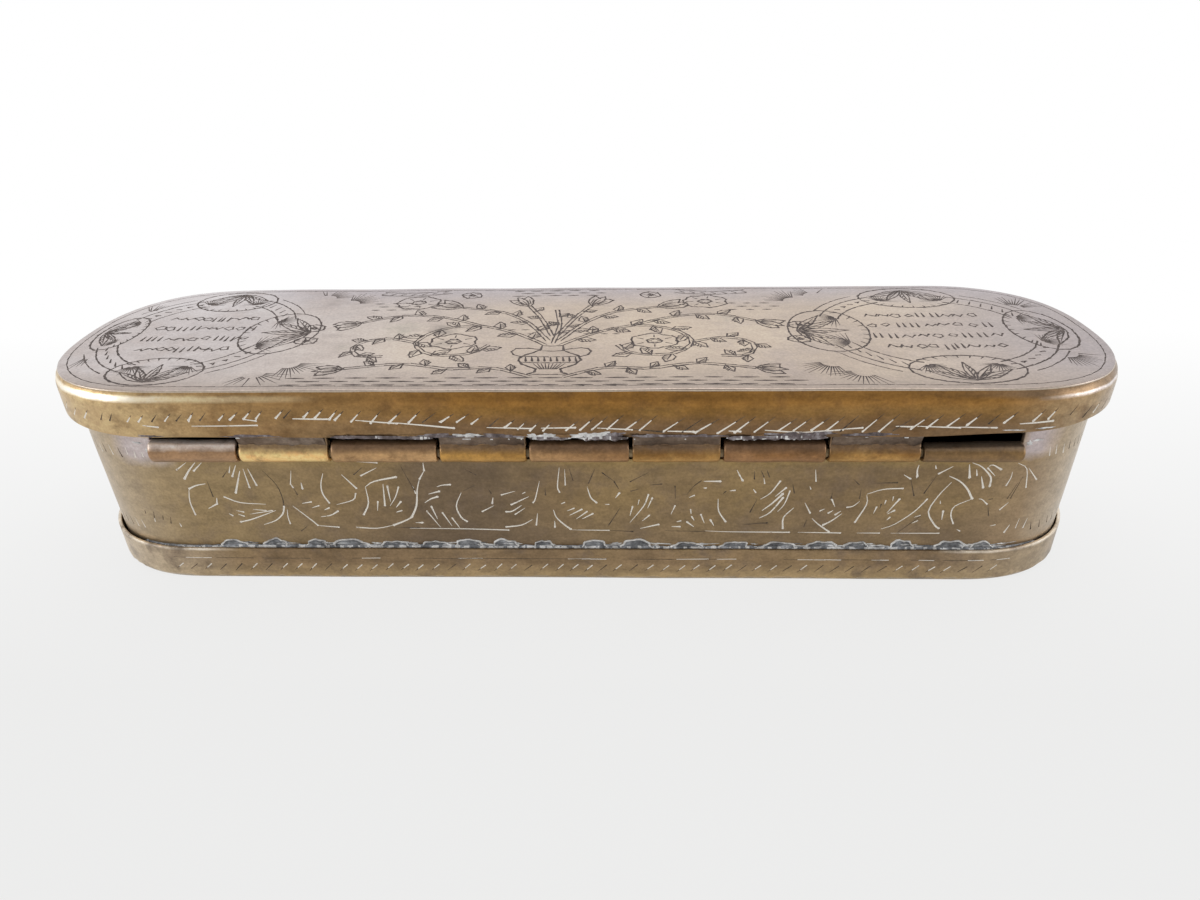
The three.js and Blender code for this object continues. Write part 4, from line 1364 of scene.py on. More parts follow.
    (WIDE, 58.3, 21.5, 59.8, 20.8, 61.5, 19, 61.7, 17.4), (WIDE, 60.1, 19.1, 60.8, 17.1),
    (PLAIN, 62.1, 19.2, 60.7, 20.6), (WIDE, 60.8, 20.9, 61.4, 21.1, 62.8, 20.3),
    # Faint leaf at the right end
    (PLAIN, 60.6, 15.1, 61.1, 15, 62.1, 14.1), (FINE, 62, 14.9, 62.7, 15.1), (BARE, 62.2, 14.1, 62.8, 11.9),
    (FINE, 64.6, 19.8, 64.6, 18.7, 64.2, 17.4), (BARE, 66, 17.8, 65, 15), (FINE, 65.4, 14.3, 64.3, 13),
    (BARE, 66.5, 18.8, 65.5, 15), (FINE, 65.1, 21.3, 66.8, 20.1, 67.6, 16.7),
    (FINE, 67.1, 20.2, 69.1, 17.9), (PLAIN, 66.7, 10, 66.1, 8.6), (FINE, 68.1, 11, 67.9, 9.2),
    (FINE, 69.6, 10.8, 69.3, 9), (FINE, 63.5, 10, 64.3, 10.2),
    # Ticks at the left end
    (BARE, -68.9, 12.1, -69, 11.4), (BARE, -67.2, 12.1, -67.5, 10.9), (BARE, -65.7, 11.6, -65.9, 10.7),
    (BARE, -64.4, 11.4, -64.7, 10.1), (PLAIN, -63.2, 10.2, -63.1, 9.6), (FINE, -67.5, 10.8, -67.6, 10.1),
    (FINE, -68.2, 23.8, -68.2, 22.5), (PLAIN, -66.8, 23.2, -66.9, 22.1), (FINE, -65.5, 23.2, -65.5, 22.3),
)


def frieze(art, oval, far_side=False):
    """The frieze of one long side. The opening side has the same one, turned about."""
    for (width, pale), *places in FRIEZE:
        points = list(zip(places[::2], places[1::2]))
        side = 1 if points[0][0] > 0 else -1
        if far_side and min(x * side for x, _ in points) < SEAM_MARGIN:
            continue
        shift, flip = (side * oval.half, -1) if far_side else (0, 1)
        art.stroke([(shift + flip * s, z - WALL_LOW[2]) for s, z in points], width, pale, bare=0.0)
    rng = art.rng
    for side in (-1, 1):
        for low, length, first, last in ((9.9, -1.5, 70.6, 96.0), (23.4, -1.6, 69.8, 96.0)):
            s = first
            while s < last:
                place = side * (oval.half - s if far_side else s)
                top = low + rng.uniform(-0.2, 0.2) - WALL_LOW[2]
                art.stroke([(place, top), (place + 0.35, top + length)], 0.095, 0.45, bare=0.0)
                s += rng.uniform(1.2, 2.0)


# Pieces of sheet

def oval_points(reach, spacing=1.1):
    oval = Oval(reach)
    runs = np.linspace(0, oval.length, round(oval.length / spacing), endpoint=False)
    shift, ray_x, ray_y = oval.at(runs)
    return np.stack([shift + reach * ray_x, reach * ray_y], axis=-1)


def make_lid_plate():
    """The engraved plate, which is let into the skirt's shoulder."""
    edge = 0.25
    waves = Unevenness(3, 0.05, 14, 60)
    top = plate_surface(PLATE_HIGH[2] - 0.05, waves)
    under = plate_surface(PLATE_LOW[2] + 0.02)
    mesh = sheet_mesh("lid_plate", top, under, oval_points(PLATE_REACH - edge), lid_ornament(), 1.6, 5, edge)
    add_piece("lid_plate_engraved", mesh, "lid", ["lid_top_plate"],
              [COPPER, *COPPER_REST])


# How far the shoulder laps up round the plate's edge
SHOULDER_LIP = 0.3
SHOULDER_BURIED = 0.12
# How far the shoulder turns, in degrees, before the plate stops it
SHOULDER_TURN = 62


def skirt_profiles():
    """Outer face with the rounded shoulder, and the inner face with the ledge under the plate."""
    inset = LID_REACH - PLATE_REACH + SHOULDER_BURIED
    top = PLATE_LOW[2] + SHOULDER_LIP
    turn = math.radians(SHOULDER_TURN)
    shoulder = [(LID_REACH - inset * (1 - math.cos(a)) / (1 - math.cos(turn)),
                 top - SHOULDER_DROP * (1 - math.sin(a) / math.sin(turn))) for a in np.linspace(0, turn, 10)]
    ledge = PLATE_REACH - SKIRT_SHEET
    inner_reach = LID_REACH - SKIRT_SHEET
    outer = Profile([(LID_REACH, SKIRT_LOW[2]), *shoulder])
    inner = Profile([
        (inner_reach, SKIRT_LOW[2]), (inner_reach, PLATE_LOW[2] - SHOULDER_DROP),
        (ledge, PLATE_LOW[2] - SKIRT_SHEET),
    ])
    return outer, inner


SKIRT_OVAL = Oval(LID_REACH)
SKIRT_WAVES = Unevenness(7, 0.05, 10, 45, SKIRT_OVAL.length)
SKIRT_EDGE_WAVES = Unevenness(29, 0.04, 9, 30, SKIRT_OVAL.length)
SKIRT_OUTER, SKIRT_INNER = skirt_profiles()
skirt_face = band_surface(SKIRT_OVAL, SKIRT_OUTER, SKIRT_WAVES)


def skirt_edge(s):
    """Height of the skirt's lower edge: it sags in the middle, is dented up over the last knuckle and
    rises at both ends."""
    tip = SKIRT_OVAL.half / 2
    dent = 0.85 * eased(s, 46, 68) * (1 - eased(s, 72, tip))
    sag = 0.26 * math.exp(-((s - 5) / 36) ** 4) if abs(s) < tip else 0.0
    return 0.06 - sag + dent + end_rise(SKIRT_OVAL, s) + SKIRT_EDGE_WAVES.at(s, 0)


def make_skirt():
    """The lid's band, from its uneven lower edge to the shoulder round the plate."""
    oval, length = SKIRT_OVAL, SKIRT_OUTER.length
    place_in = band_surface(oval, SKIRT_INNER, SKIRT_WAVES, SKIRT_INNER.length / length)
    boundary = band_boundary(oval, skirt_edge, straight_edge(oval, length))
    mesh = sheet_mesh("skirt", skirt_face, place_in, boundary, skirt_ornament(oval), 0.9, 6, 0.1, oval.half)
    add_piece("lid_skirt_engraved", mesh, "lid", ["lid_skirt"], [BRASS_SKIRT, *BRASS_REST])


WALL_OVAL = Oval(WALL_REACH)
WALL_WAVES = Unevenness(13, 0.06, 12, 60, WALL_OVAL.length)
WALL_PROFILE = Profile([(WALL_REACH - WALL_TAPER, WALL_LOW[2]), (WALL_REACH, WALL_HIGH[2])])
wall_face = band_surface(WALL_OVAL, WALL_PROFILE, WALL_WAVES)


def wall_top_corners():
    """The wall's upper edge, from one cut end to the other, let down where the knuckles lie."""
    top = WALL_PROFILE.length
    floor = NOTCH_FLOOR - WALL_LOW[2]
    left, right = (WALL_OVAL.run_at(x) for x in (HINGE_START - NOTCH_END_GAP, HINGE_END + NOTCH_END_GAP))
    corners = [(s, t) for s, t in straight_edge(WALL_OVAL, top) if s > right + 0.5]
    corners += [(right, t) for t in np.linspace(top, floor, 10)]
    corners += [(s, floor) for s in np.linspace(right, left, 108)[1:-1]]
    corners += [(left, t) for t in np.linspace(floor, top, 10)]
    return corners + [(s, t) for s, t in straight_edge(WALL_OVAL, top) if s < left - 0.5]


def make_wall():
    """The body's band, with the frieze on both long sides and the notch for the hinge."""
    art = Engraving(41, steepness=0.6)
    frieze(art, WALL_OVAL)
    frieze(art, WALL_OVAL, far_side=True)
    inner_profile = Profile(WALL_PROFILE.points - [WALL_SHEET, 0])
    place_in = band_surface(WALL_OVAL, inner_profile, WALL_WAVES)
    boundary = band_boundary(WALL_OVAL, lambda s: 0.0, wall_top_corners())
    mesh = sheet_mesh("wall", wall_face, place_in, boundary, art, 1.6, 8, 0.12, WALL_OVAL.half)
    add_piece("body_wall_engraved", mesh, "box", ["body_wall"], [BRASS_WALL, *BRASS_REST])


def make_rim():
    """The low band round the foot, bent in at the bottom."""
    oval = Oval(RIM_REACH)
    corner = 0.45
    top = RIM_HIGH[2] - 0.08
    bend = [(RIM_REACH - corner * (1 - math.cos(a)), RIM_LOW[2] + corner * (1 - math.sin(a)))
            for a in np.linspace(math.pi / 2, 0, 7)]
    outer = Profile([*bend, (RIM_REACH, top)])
    inner = Profile([(RIM_REACH - RIM_SHEET, 0.03), (RIM_REACH - RIM_SHEET, top)])
    waves = Unevenness(17, 0.05, 12, 50, oval.length)
    place_out = band_surface(oval, outer, waves)
    place_in = band_surface(oval, inner, waves, inner.length / outer.length)
    boundary = band_boundary(oval, lambda s: 0.0, straight_edge(oval, outer.length))
    mesh = sheet_mesh("rim", place_out, place_in, boundary, rim_ornament(oval), 1.0, 9, 0.08, oval.half)
    add_piece("base_rim_engraved", mesh, "box", ["base_rim"], [BRASS_RIM, *BRASS_REST])


def make_base_plate():
    """The plain plate that closes the bottom."""
    edge = 0.15
    waves = Unevenness(19, 0.04, 14, 60)
    top = plate_surface(BASE_HIGH[2] - 0.08, waves)
    under = plate_surface(BASE_LOW[2] + 0.12, waves)
    mesh = sheet_mesh("base_plate", top, under, oval_points(BASE_REACH - edge), None, 3.0, 15, edge)
    add_piece("base_plate_sheet", mesh, "box", ["base_plate"], [COPPER_INNER, *COPPER_REST])


# Hinge

def ring_points(first, last, count, radius):
    """Points of an arc round (0, 0), from one direction in degrees to another."""
    turns = np.radians(np.linspace(first, last, count))
    return [(radius * math.cos(a), radius * math.sin(a)) for a in turns]


TUBE_MIDDLE = TUBE_RADIUS - TUBE_SHEET / 2


def rolled_path(body):
    """The middle line of a knuckle's sheet from the tip of its leaf round the tube, from the hinge axis."""
    if body == "lid":
        y = -(LID_REACH - SKIRT_SHEET) + LEAF_SHEET / 2 - HINGE_Y
        top = KNUCKLES[1][2][2] - HINGE_Z
        leaf_line = [(y, z) for z in np.linspace(top, 1.7, 6)] + [(y - 0.04, 1.42), (y - 0.14, 1.24)]
        return np.array(leaf_line + ring_points(126, 431, 44, TUBE_MIDDLE))
    y = WALL_SHEET - WALL_REACH + 0.15 + LEAF_SHEET / 2 - HINGE_Y
    low = KNUCKLES[0][1][2] - HINGE_Z
    leaf_line = [(y, z) for z in np.linspace(low, -1.6, 6)] + [(y - 0.02, -1.1), (TUBE_MIDDLE + 0.03, -0.5)]
    return np.array(leaf_line + ring_points(0, 316, 44, TUBE_MIDDLE))


# The tubes aren't round: how much taller the upper half of each is, and how far the last one is pressed
# down at its left end
TUBE_TALLER = (1.3, 1.1, 1.3, 1.1, 1.3, 1.1, 1.3, 1.1, 1.0)
LAST_SINKS = 0.2
# Rings along a tube are this far apart, and nearer at its ends, which are filed off by END_WEAR
TUBE_STEP = 0.8
SOFT_END = (0, 0.05, 0.16, 0.35)
END_WEAR = 0.16


def make_knuckle(index):
    """A tube rolled from sheet, with its leaf. Its ends are filed round and its face is a little uneven."""
    name, low, high = KNUCKLES[index]
    body = "box" if index % 2 == 0 else "lid"
    path = rolled_path(body)
    step = unit(np.gradient(path, axis=0))
    out = np.stack([step[:, 1], -step[:, 0]], axis=-1)
    reach = np.hypot(*path.T)
    in_leaf = (reach > TUBE_RADIUS).astype(float)
    thick = TUBE_SHEET + (LEAF_SHEET - TUBE_SHEET) * in_leaf
    waves = Unevenness(50 + index, 0.035, 2.5, 9)
    start, end = low[0], high[0]
    between = np.linspace(start, end, round((end - start) / TUBE_STEP))[1:-1]
    xs = sorted([*between, *(start + d for d in SOFT_END), *(end - d for d in SOFT_END)])
    sinks = LAST_SINKS if index == len(KNUCKLES) - 1 else 0.0
    around = np.unwrap(np.arctan2(path[:, 1], path[:, 0])) * TUBE_RADIUS
    rings = []
    for x in xs:
        near = min(x - start, end - x)
        worn = END_WEAR * (1 - min(1, near / SOFT_END[-1])) ** 2
        shift = waves.at(np.full(len(path), x), around) * (1 - in_leaf)
        outer = path + out * (thick / 2 + shift - worn)[:, None]
        inner = path - out * (thick / 2 - worn * 0.3)[:, None]
        shape = np.vstack([outer, inner[::-1]])
        in_tube = (np.hypot(*shape.T) < TUBE_RADIUS + 0.1) * (shape[:, 1] > 0)
        shape[:, 1] *= 1 + (TUBE_TALLER[index] - 1 - sinks * (end - x) / (end - start)) * in_tube
        section = shape + [HINGE_Y, HINGE_Z]
        rings.append(np.column_stack([np.full(len(section), x), section]))
    size, count, half = len(rings[0]), len(rings), len(path)
    faces = side_faces(count, size)
    for ring, flip in ((0, True), (count - 1, False)):
        for j in range(half - 1):
            quad = [ring * size + k for k in (j, j + 1, size - 2 - j, size - 1 - j)]
            faces.append(tuple(reversed(quad)) if flip else tuple(quad))
    mesh = plain_mesh(name, np.vstack(rings), faces)
    usual = KNUCKLE_PINK if body == "box" else KNUCKLE_GOLD
    material = {0: KNUCKLE_FIRST, 8: KNUCKLE_OLIVE}.get(index, usual)
    add_piece(f"{name}_rolled", mesh, body, [name], [material])


def make_pin():
    """The wire through all the tubes, with rounded ends."""
    xs = [(PIN_LOW[0] + d, math.sqrt(max(0, 1 - (1 - d / 0.5) ** 2))) for d in (0.02, 0.1, 0.25, 0.5)]
    xs += [(x, 1.0) for x in np.linspace(PIN_LOW[0] + 1, PIN_HIGH[0] - 1, 40)]
    xs += [(PIN_HIGH[0] + PIN_LOW[0] - x, r) for x, r in reversed(xs[:4])]
    circle = ring_points(0, 345, 24, PIN_RADIUS)
    places = [(x, HINGE_Y + y * share, HINGE_Z + z * share) for x, share in xs for y, z in circle]
    mesh = plain_mesh("hinge_pin", places, closed_faces(len(xs), len(circle)))
    add_piece("hinge_pin_wire", mesh, "box", ["hinge_pin"], [WIRE])


# Solder

class Bodies:
    """Closed bodies that are gathered into one mesh."""

    def __init__(self):
        self.places, self.faces, self.kinds = [], [], []
        self.count = 0

    def add(self, places, faces, kinds):
        self.places.append(np.asarray(places))
        self.faces += [tuple(self.count + i for i in f) for f in faces]
        self.kinds += kinds
        self.count += len(places)

    def mesh(self, name):
        mesh = plain_mesh(name, np.vstack(self.places), self.faces, 60)
        mesh.polygons.foreach_set("material_index", self.kinds)
        return mesh

    def bead(self, rings, kind_at):
        """A bead through closed rings of places. kind_at gives a face's kind from its ring and its row."""
        count, size = len(rings), len(rings[0])
        kinds = [kind_at(i, j) for i in range(count - 1) for j in range(size)]
        self.add(np.array(rings).reshape(-1, 3), closed_faces(count, size), kinds + [0, 0])


def lump(x, y, z, size, seed):
    """Smooth noise from -1 to 1 at a place, with lumps of about the size given."""
    return noise.fractal(Vector((x / size + seed * 7.3, y / size, z / size)), 1.0, 2.0, 3)


PATCH_SIDES = 32
# The rings of a patch as shares of its half sizes, from the middle out. Then its rim: where it stands,
# how wide it is, and the ring from which on it has the other material
PATCH_RINGS = (0.3, 0.55, 0.75, 0.84, 0.9, 0.95, 1.0)
PATCH_RIM, PATCH_RIM_WIDTH, PATCH_RIM_RING = 0.9, 0.07, 3
# How deep a patch's border and its back lie in the surface
PATCH_SINKS = 0.06
PATCH_BACK = 0.3


def patch(bodies, place, centre, radii, height, seed, ragged=0.25, rim=0.0, kind=0):
    """A low drop of solder on a surface: an oval with a ragged border that sinks into the surface.

    With a rim its border stands up, and has the other material."""
    rng = random.Random(seed)
    sides = PATCH_SIDES
    turns = np.linspace(0, 2 * math.pi, sides, endpoint=False)
    waves = [rng.uniform(0.2, 0.6) * np.sin(k * turns + rng.uniform(0, 6.28)) for k in (2, 3, 5, 8)]
    border = 1 + ragged * sum(waves)
    s, t = (np.concatenate([middle + size * r * border * wave for r in PATCH_RINGS] + [[middle]])
            for middle, size, wave in zip(centre, radii, (np.cos(turns), np.sin(turns))))
    r = np.append(np.repeat(PATCH_RINGS, sides), 0.0)
    lumps = np.array([lump(a, b, 0, 0.9, seed) for a, b in zip(s, t)])
    edge = rim * np.exp(-((r - PATCH_RIM) / PATCH_RIM_WIDTH) ** 2)
    rise = height * (1 - r ** 4) * (1 + 0.7 * lumps) + edge * (1 + 0.5 * lumps)
    rise = np.where(r >= 1, -PATCH_SINKS, rise)
    front = place(s, t) + normals_at(place, s, t) * rise[:, None]
    middle = [np.array([value]) for value in centre]
    back = place(*middle) - normals_at(place, *middle) * PATCH_BACK
    faces, kinds = [], []
    last = len(PATCH_RINGS) - 1
    for j in range(sides):
        k = (j + 1) % sides
        faces.append((len(front) - 1, j, k))
        faces += [(i + j, i + sides + j, i + sides + k, i + k) for i in range(0, last * sides, sides)]
        faces.append((last * sides + k, last * sides + j, len(front)))
        kinds += [kind, *(1 - kind if rim and i >= PATCH_RIM_RING else kind for i in range(last)), kind]
    bodies.add(np.vstack([front, back]), faces, kinds)


# How much dried flux lies on the solder strips of the lid, from the left to the right
LID_SOLDER_PALENESS = (-0.3, 0.22, -0.1, 0.12)
BEAD_STEP = 0.2
# Where a strip of solder meets its tube, in degrees round it
STRIP_ANGLE = 118


def strip_section(x, index, start, end):
    """Ring of places round a strip of solder between a tube and the skirt, at a place along the hinge."""
    full = min(1.0, min(x - start, end - x) / 0.5) ** 0.5
    turn = math.radians(STRIP_ANGLE + 5 * lump(x, 3, 0, 1.6, index) + 7 * max(0, lump(x, 0, 0, 1.6, index)))
    radius = TUBE_RADIUS + 0.03
    a = (radius * math.cos(turn), radius * TUBE_TALLER[index] * math.sin(turn))
    b = (SKIRT_LOW[1] + 0.07 - HINGE_Y, SKIRT_LOW[2] + 0.12 + 0.12 * lump(x, 9, 0, 1.1, index) - HINGE_Z)
    front = []
    for u in np.linspace(0, 1, 9):
        swell = (0.02 + 0.07 * lump(x, u * 2, 5, 1.4, index)) * math.sin(math.pi * u) * full
        front.append((a[0] + (b[0] - a[0]) * u - swell * 0.93, a[1] + (b[1] - a[1]) * u + swell * 0.3))
    inside_y = SKIRT_LOW[1] + SKIRT_SHEET - HINGE_Y
    back = [(inside_y, b[1] - 0.2), (inside_y, 1.35)]
    return [(x, y + HINGE_Y, z + HINGE_Z) for y, z in front + back][::-1]


def make_lid_solder(index):
    """The solder between the skirt's lower edge and a tube of the lid, lumpy and pressed on by hand."""
    name, low, high = KNUCKLES[index]
    start, end = low[0] + 0.15, high[0] - 0.15
    xs = np.linspace(start, end, round((end - start) / BEAD_STEP))
    pale = LID_SOLDER_PALENESS[index // 2]
    bodies = Bodies()
    bodies.bead([strip_section(x, index, start, end) for x in xs],
                lambda i, j: int(2 <= j <= 4 and lump(xs[i], j * 0.5, 2, 1.6, index + 40) > 0.5 - pale))
    node = name.replace("knuckle", "solder")
    add_piece(f"{node}_bead", bodies.mesh(node), "lid", [node], [SOLDER_STRIP, SOLDER_PALE])


# The scallops of solder along the foot, seen from the hinge side: start and end of each
SCALLOPS = (
    (-57.7, -52.8), (-50.4, -46.5), (-43.9, -39.9), (-39.6, -32.9), (-31.6, -26.9), (-25.0, -20.5),
    (-20.0, -14.6), (-14.1, -9.3), (-7.0, -3.8), (0.3, 4.9), (6.1, 12.1), (14.5, 20.0), (22.2, 26.7),
    (28.9, 34.1), (35.6, 40.7), (41.3, 45.8), (48.3, 52.6), (55.2, 60.7), (61.0, 65.0),
)
FILLET_RISE = 0.4
FLECKS = 5
# Where the bead ends round the corners of the foot: side, and run from the middle of that side
CORNERS = ((-1, 72.5), (-1, -71.0), (1, 70.0), (1, -72.0))


def foot_section(s, side, seed, full):
    """Ring of places round the solder in the gap between wall and rim at a run s of the hinge side."""
    inner, wall = RIM_REACH - RIM_SHEET, WALL_PROFILE.at(RIM_HIGH[2])[0] - 0.02
    top = RIM_HIGH[2] + full * FILLET_RISE * (1 + 0.6 * lump(s, 0, 0, 1.1, seed)) - 0.1
    face = [(wall + 0.02, top), (wall + 0.12 + 0.05 * lump(s, 4, 0, 0.8, seed), top - 0.1),
            (inner - 0.09, RIM_HIGH[2] - 0.02 + 0.07 * lump(s, 6, 0, 0.7, seed)),
            (inner - 0.03, RIM_HIGH[2] - 0.16), (inner - 0.03, RIM_HIGH[2] - 0.5), (wall - 0.1, 2.1),
            (wall - 0.1, top - 0.1)]
    shift, ray_x, ray_y = WALL_OVAL.at(s if side < 0 else WALL_OVAL.half - s)
    return [(shift + reach * ray_x, reach * ray_y, z) for reach, z in face]


def foot_kind(runs, seed, level):
    """The kinds of a foot bead's faces: pale on its front where its noise is above a level."""
    return lambda i, j: int(1 <= j <= 3 and lump(runs[i], j * 0.2, 8, 0.9, seed) > level)


def wall_run(x, side):
    """The run round the wall of a place on one of its long sides."""
    if side < 0:
        return x
    return WALL_OVAL.half - x if x > 0 else -WALL_OVAL.half - x


def make_foot_solder(name, side, seed):
    """The solder between the wall and the rim: a low bead, with pale-edged scallops on the wall above it."""
    rng = random.Random(seed)
    bodies = Bodies()
    end = node_box(name)[1][0]
    runs = np.linspace(-end, end, 400)
    rings = [foot_section(s, side, seed, min(1.0, (end - abs(s)) / 3 + 0.4)) for s in runs]
    bodies.bead(rings, foot_kind(runs, seed, 0.02))
    level = RIM_HIGH[2] - WALL_LOW[2]
    for first, last in SCALLOPS:
        x, half = (first + last) / 2, (last - first) / 2
        dome = (half * 0.98, rng.uniform(1.1, 1.55))
        own_seed = seed + round(x * 10)
        patch(bodies, wall_face, (wall_run(x, side), level), dome, 0.05, own_seed, 0.14, rim=0.2)
        for k in range(FLECKS):
            fleck = (wall_run(last + rng.uniform(-1.6, 1.8), side), level + rng.uniform(0.05, 0.75))
            size = (rng.uniform(0.4, 1.6), rng.uniform(0.07, 0.16))
            patch(bodies, wall_face, fleck, size, 0.07, own_seed + 5 + k, 0.6, kind=int(k > 0))
    add_piece(f"{name}_scalloped", bodies.mesh(name), "box", [name], [SOLDER_GREY, SOLDER_PALE])


def make_corner_solder():
    """The same solder where it thins out round the corners of the foot."""
    bodies = Bodies()
    for side, end in CORNERS:
        first = math.copysign(node_box("foot_solder_hinge_side")[1][0] - 0.4, end)
        runs = np.linspace(first, end, 60)
        rings = [foot_section(s, side, 7, 0.15 + 0.6 * (s - end) / (first - end)) for s in runs]
        bodies.bead(rings if end > 0 else rings[::-1], foot_kind(runs, 5, 0.1))
    add_piece("foot_corner_solder", bodies.mesh("foot_corner_solder"), "box", [],
              [SOLDER_GREY, SOLDER_PALE])


def hanging_residue(bodies, start, end, drop, seed):
    """Solder and dirt that hangs from the skirt's lower edge in front of a tube, with a ragged edge."""
    def section_at(x):
        near = max(0.02, min(1.0, (min(x - start, end - x)) / 1.2)) ** 0.5
        edge = SKIRT_FOOT + skirt_edge(x)
        ragged = 0.75 + 0.45 * lump(x, 0, 0, 1.0, seed) + 0.25 * lump(x, 5, 0, 0.35, seed)
        low = edge - near * drop * ragged
        bulge = 0.07 * near * (1 + lump(x, 2, 0, 0.8, seed))
        front = SKIRT_LOW[1] - 0.03
        return [(x, front - bulge * 0.3, edge + 0.35 * near), (x, front - bulge, edge - 0.02),
                (x, front - bulge * 0.8, (edge + low) / 2), (x, front + 0.12, low),
                (x, front + 0.5, low + 0.02), (x, front + 0.5, edge + 0.3)]

    xs = np.linspace(start, end, round((end - start) / BEAD_STEP))
    bodies.bead([section_at(x) for x in xs], lambda i, j: int(lump(xs[i], j * 0.5, 2, 0.8, seed) > 0.4))


# Patches along the skirt's lower edge: run, height above the edge, half sizes, and 1 for a pale one
SKIRT_RESIDUE = (
    (-62.0, 0.1, 1.6, 0.2, 0), (-47.0, 0.1, 4.5, 0.2, 0), (-19.0, 0.3, 3.5, 0.35, 0),
    (-15.5, 0.4, 2.2, 0.3, 1), (-11.0, 0.3, 3.0, 0.35, 0), (-5.6, 0.25, 1.3, 0.35, 1),
    (-3.6, 0.3, 1.2, 0.45, 1), (1.4, 0.35, 1.6, 0.45, 1), (3.4, 0.45, 2.2, 0.4, 1),
    (5.6, 0.4, 1.6, 0.45, 0), (12.0, 0.3, 3.6, 0.3, 0), (18.0, 0.25, 3.0, 0.25, 0),
    (30.5, 0.3, 3.6, 0.35, 0), (34.5, 0.5, 2.6, 0.35, 0), (42.0, 0.3, 3.6, 0.3, 0),
    (62.0, 0.3, 1.5, 0.1, 1), (66.5, 0.3, 1.4, 0.12, 1),
)
# How much higher all of them lie than given
RESIDUE_LIFT = 0.12
# What hangs from the edge over the body's knuckles: start, end and drop
HANGING = ((-35.4, -20.4, 0.3), (-6.4, -0.4, 0.4), (0.6, 7.8, 0.5), (21.8, 36.2, 0.5))
# The same as the patches, on the wall beside the two ends of the hinge, with heights from the wall's foot
WALL_RESIDUE = (
    (-64.3, 22.9, 0.35, 0.5, 1), (-65.6, 24.1, 0.9, 0.15, 1), (66.0, 23.9, 0.5, 0.35, 1),
    (67.2, 24.3, 0.9, 0.15, 1),
)


def residue_piece(name, body, place, rows, seed, hanging=()):
    """Flat patches of solder and dried flux on a surface. rows are (run, height, half sizes, kind)."""
    bodies = Bodies()
    for index, (start, end, drop) in enumerate(hanging):
        hanging_residue(bodies, start, end, drop, seed + 60 + index)
    for index, (s, t, wide, tall, kind) in enumerate(rows):
        patch(bodies, place, (s, t), (wide, tall), 0.05, seed + index, 0.45, kind=kind)
    add_piece(name, bodies.mesh(name), body, [], [SOLDER_DARK, SOLDER_PALE])


def make_residue():
    rows = [(s, t + skirt_edge(s) + RESIDUE_LIFT, *rest) for s, t, *rest in SKIRT_RESIDUE]
    residue_piece("skirt_edge_residue", "lid", skirt_face, rows, 300, HANGING)
    residue_piece("hinge_end_smears", "box", wall_face, WALL_RESIDUE, 340)


make_lid_plate()
make_skirt()
make_wall()
make_rim()
make_base_plate()
for index in range(len(KNUCKLES)):
    make_knuckle(index)
    if index % 2:
        make_lid_solder(index)
make_pin()
make_foot_solder("foot_solder_hinge_side", -1, 100)
make_foot_solder("foot_solder_opening_side", 1, 200)
make_corner_solder()
make_residue()


# Stage

# The camera, fitted to the outlines in the photograph: place in millimetres and turns in degrees
CAMERA_PLACE = (7.407, -125.46, 83.753)
CAMERA_PITCH = 29.802
CAMERA_YAW = -2.048
CAMERA_ROLL = 1.041
CAMERA_LENS = 24.601


def add_to_scene(name, data):
    made = bpy.data.objects.new(name, data)
    bpy.context.scene.collection.objects.link(made)
    return made


def make_camera():
    pitch, yaw, roll = (math.radians(a) for a in (CAMERA_PITCH, CAMERA_YAW, CAMERA_ROLL))
    forward = Vector((math.sin(yaw) * math.cos(pitch), math.cos(yaw) * math.cos(pitch), -math.sin(pitch)))
    level = Vector((math.cos(yaw), -math.sin(yaw), 0))
    down = forward.cross(level)
    right = level * math.cos(roll) + down * math.sin(roll)
    lower = down * math.cos(roll) - level * math.sin(roll)
    data = bpy.data.cameras.new("camera")
    data.lens = CAMERA_LENS
    data.sensor_width = 36
    data.clip_start = 0.005
    data.clip_end = 20
    camera = add_to_scene("camera", data)
    turn = Matrix((right, -lower, -forward)).transposed()
    camera.matrix_world = Matrix.Translation(Vector(CAMERA_PLACE) * MM) @ turn.to_4x4()
    bpy.context.scene.camera = camera


def seen_directly(tree):
    """1 for camera and glossy rays and 0 for the light that falls on things."""
    rays = add_node(tree, "ShaderNodeLightPath").outputs
    seen = [rays["Is Camera Ray"], rays["Is Glossy Ray"]]
    return add_node(tree, "ShaderNodeMath", *seen, operation="MAXIMUM").outputs["Value"]


FLOOR_HALF = 3.0
FLOOR_COLOUR = (0.82, 0.82, 0.815)
# Share of the floor's own even tone in front of the box, which softens the shadow, and that tone
FLOOR_GLOW = 0.9
FLOOR_TONE = (0.84, 0.84, 0.835)
# Where along Y the tone turns into the white of the background: behind the box, and far in front of it
WHITE_BEHIND = (-0.045, 0.085)
WHITE_IN_FRONT = (-1.6, -0.6)
SHADOW_ENDS = 0.06


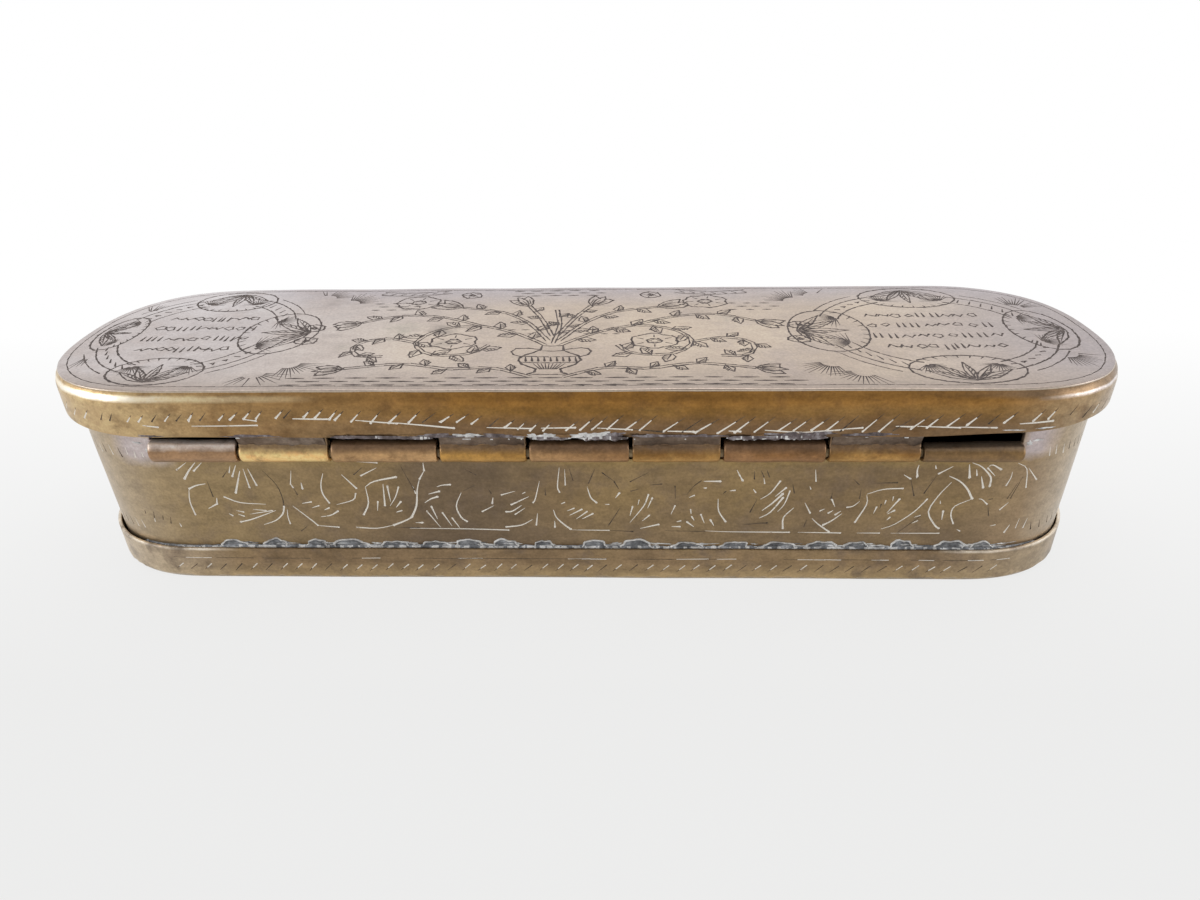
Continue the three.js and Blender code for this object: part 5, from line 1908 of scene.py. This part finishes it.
def make_floor():
    """A pale floor with soft shadows that turns into the white of the background behind and far in front."""
    mesh = bpy.data.meshes.new("floor")
    corners = [(x * FLOOR_HALF, y * FLOOR_HALF, 0) for x, y in ((-1, -1), (1, -1), (1, 1), (-1, 1))]
    mesh.from_pydata(corners, [], [(0, 1, 2, 3)])
    floor = add_to_scene("floor", mesh)
    made, tree, bsdf = node_material("floor")
    set_node(tree, bsdf, Base_Color=FLOOR_COLOUR, Roughness=0.6)
    y = axes_of(tree, add_node(tree, "ShaderNodeTexCoord").outputs["Object"])["Y"]
    share = times(tree, spread_of(tree, y, 0.0, SHADOW_ENDS, FLOOR_GLOW, 1.0), seen_directly(tree))
    grey = times(tree, spread_of(tree, y, *WHITE_BEHIND, 1.0, 0.0), spread_of(tree, y, *WHITE_IN_FRONT))
    glow = add_node(tree, "ShaderNodeEmission", ramp(tree, grey, [(0.0, 1.0), (1.0, FLOOR_TONE)]), 1.0)
    blend = add_node(tree, "ShaderNodeMixShader", share, bsdf.outputs["BSDF"], glow.outputs["Emission"])
    set_node(tree, tree.nodes["Material Output"], Surface=blend.outputs["Shader"])
    mesh.materials.append(made)


# What the lamps point at
LIT_PLACE = Vector((0, 0, 0.02))


def make_light(name, place, size, power):
    data = bpy.data.lights.new(name, "AREA")
    data.shape = "RECTANGLE"
    data.size, data.size_y = size
    data.energy = power
    light = add_to_scene(name, data)
    light.location = place
    light.rotation_mode = "QUATERNION"
    light.rotation_quaternion = (LIT_PLACE - Vector(place)).to_track_quat("-Z", "Y")


ROOM_LIGHT, ROOM_STRENGTH = (0.95, 0.97, 1.0), 0.62
WHITE = (1, 1, 1)
# How bright the room in front of the box is in a reflection, next to the white behind it, and where it turns
FRONT_ROOM = 0.5
ROOM_TURNS = (-0.75, 0.1)


def make_world():
    """Soft light all round. What shines in the metal is white behind the box and darker in front of it."""
    world = bpy.data.worlds.new("studio")
    bpy.context.scene.world = world
    world.use_nodes = True
    tree = world.node_tree
    light = set_node(tree, tree.nodes["Background"], Color=ROOM_LIGHT, Strength=ROOM_STRENGTH)
    rays = add_node(tree, "ShaderNodeLightPath").outputs
    y = axes_of(tree, add_node(tree, "ShaderNodeTexCoord").outputs["Generated"])["Y"]
    room = add_node(tree, "ShaderNodeBackground", WHITE, spread_of(tree, y, *ROOM_TURNS, FRONT_ROOM, 1.0))
    white = add_node(tree, "ShaderNodeBackground", WHITE, 1.0)
    shader = light
    for ray, other in (("Is Glossy Ray", room), ("Is Camera Ray", white)):
        shader = add_node(tree, "ShaderNodeMixShader", rays[ray], shader.outputs[0], other.outputs[0])
    set_node(tree, tree.nodes["World Output"], Surface=shader.outputs[0])


make_camera()
make_floor()
make_light("top_light", (0.0, 0.10, 0.70), (0.8, 0.5), 2.6)
make_light("left_light", (-0.55, -0.24, 0.14), (0.34, 0.22), 0.75)
make_light("right_light", (0.55, -0.16, 0.14), (0.30, 0.22), 0.55)
make_world()
bpy.context.scene.view_settings.view_transform = "Standard"
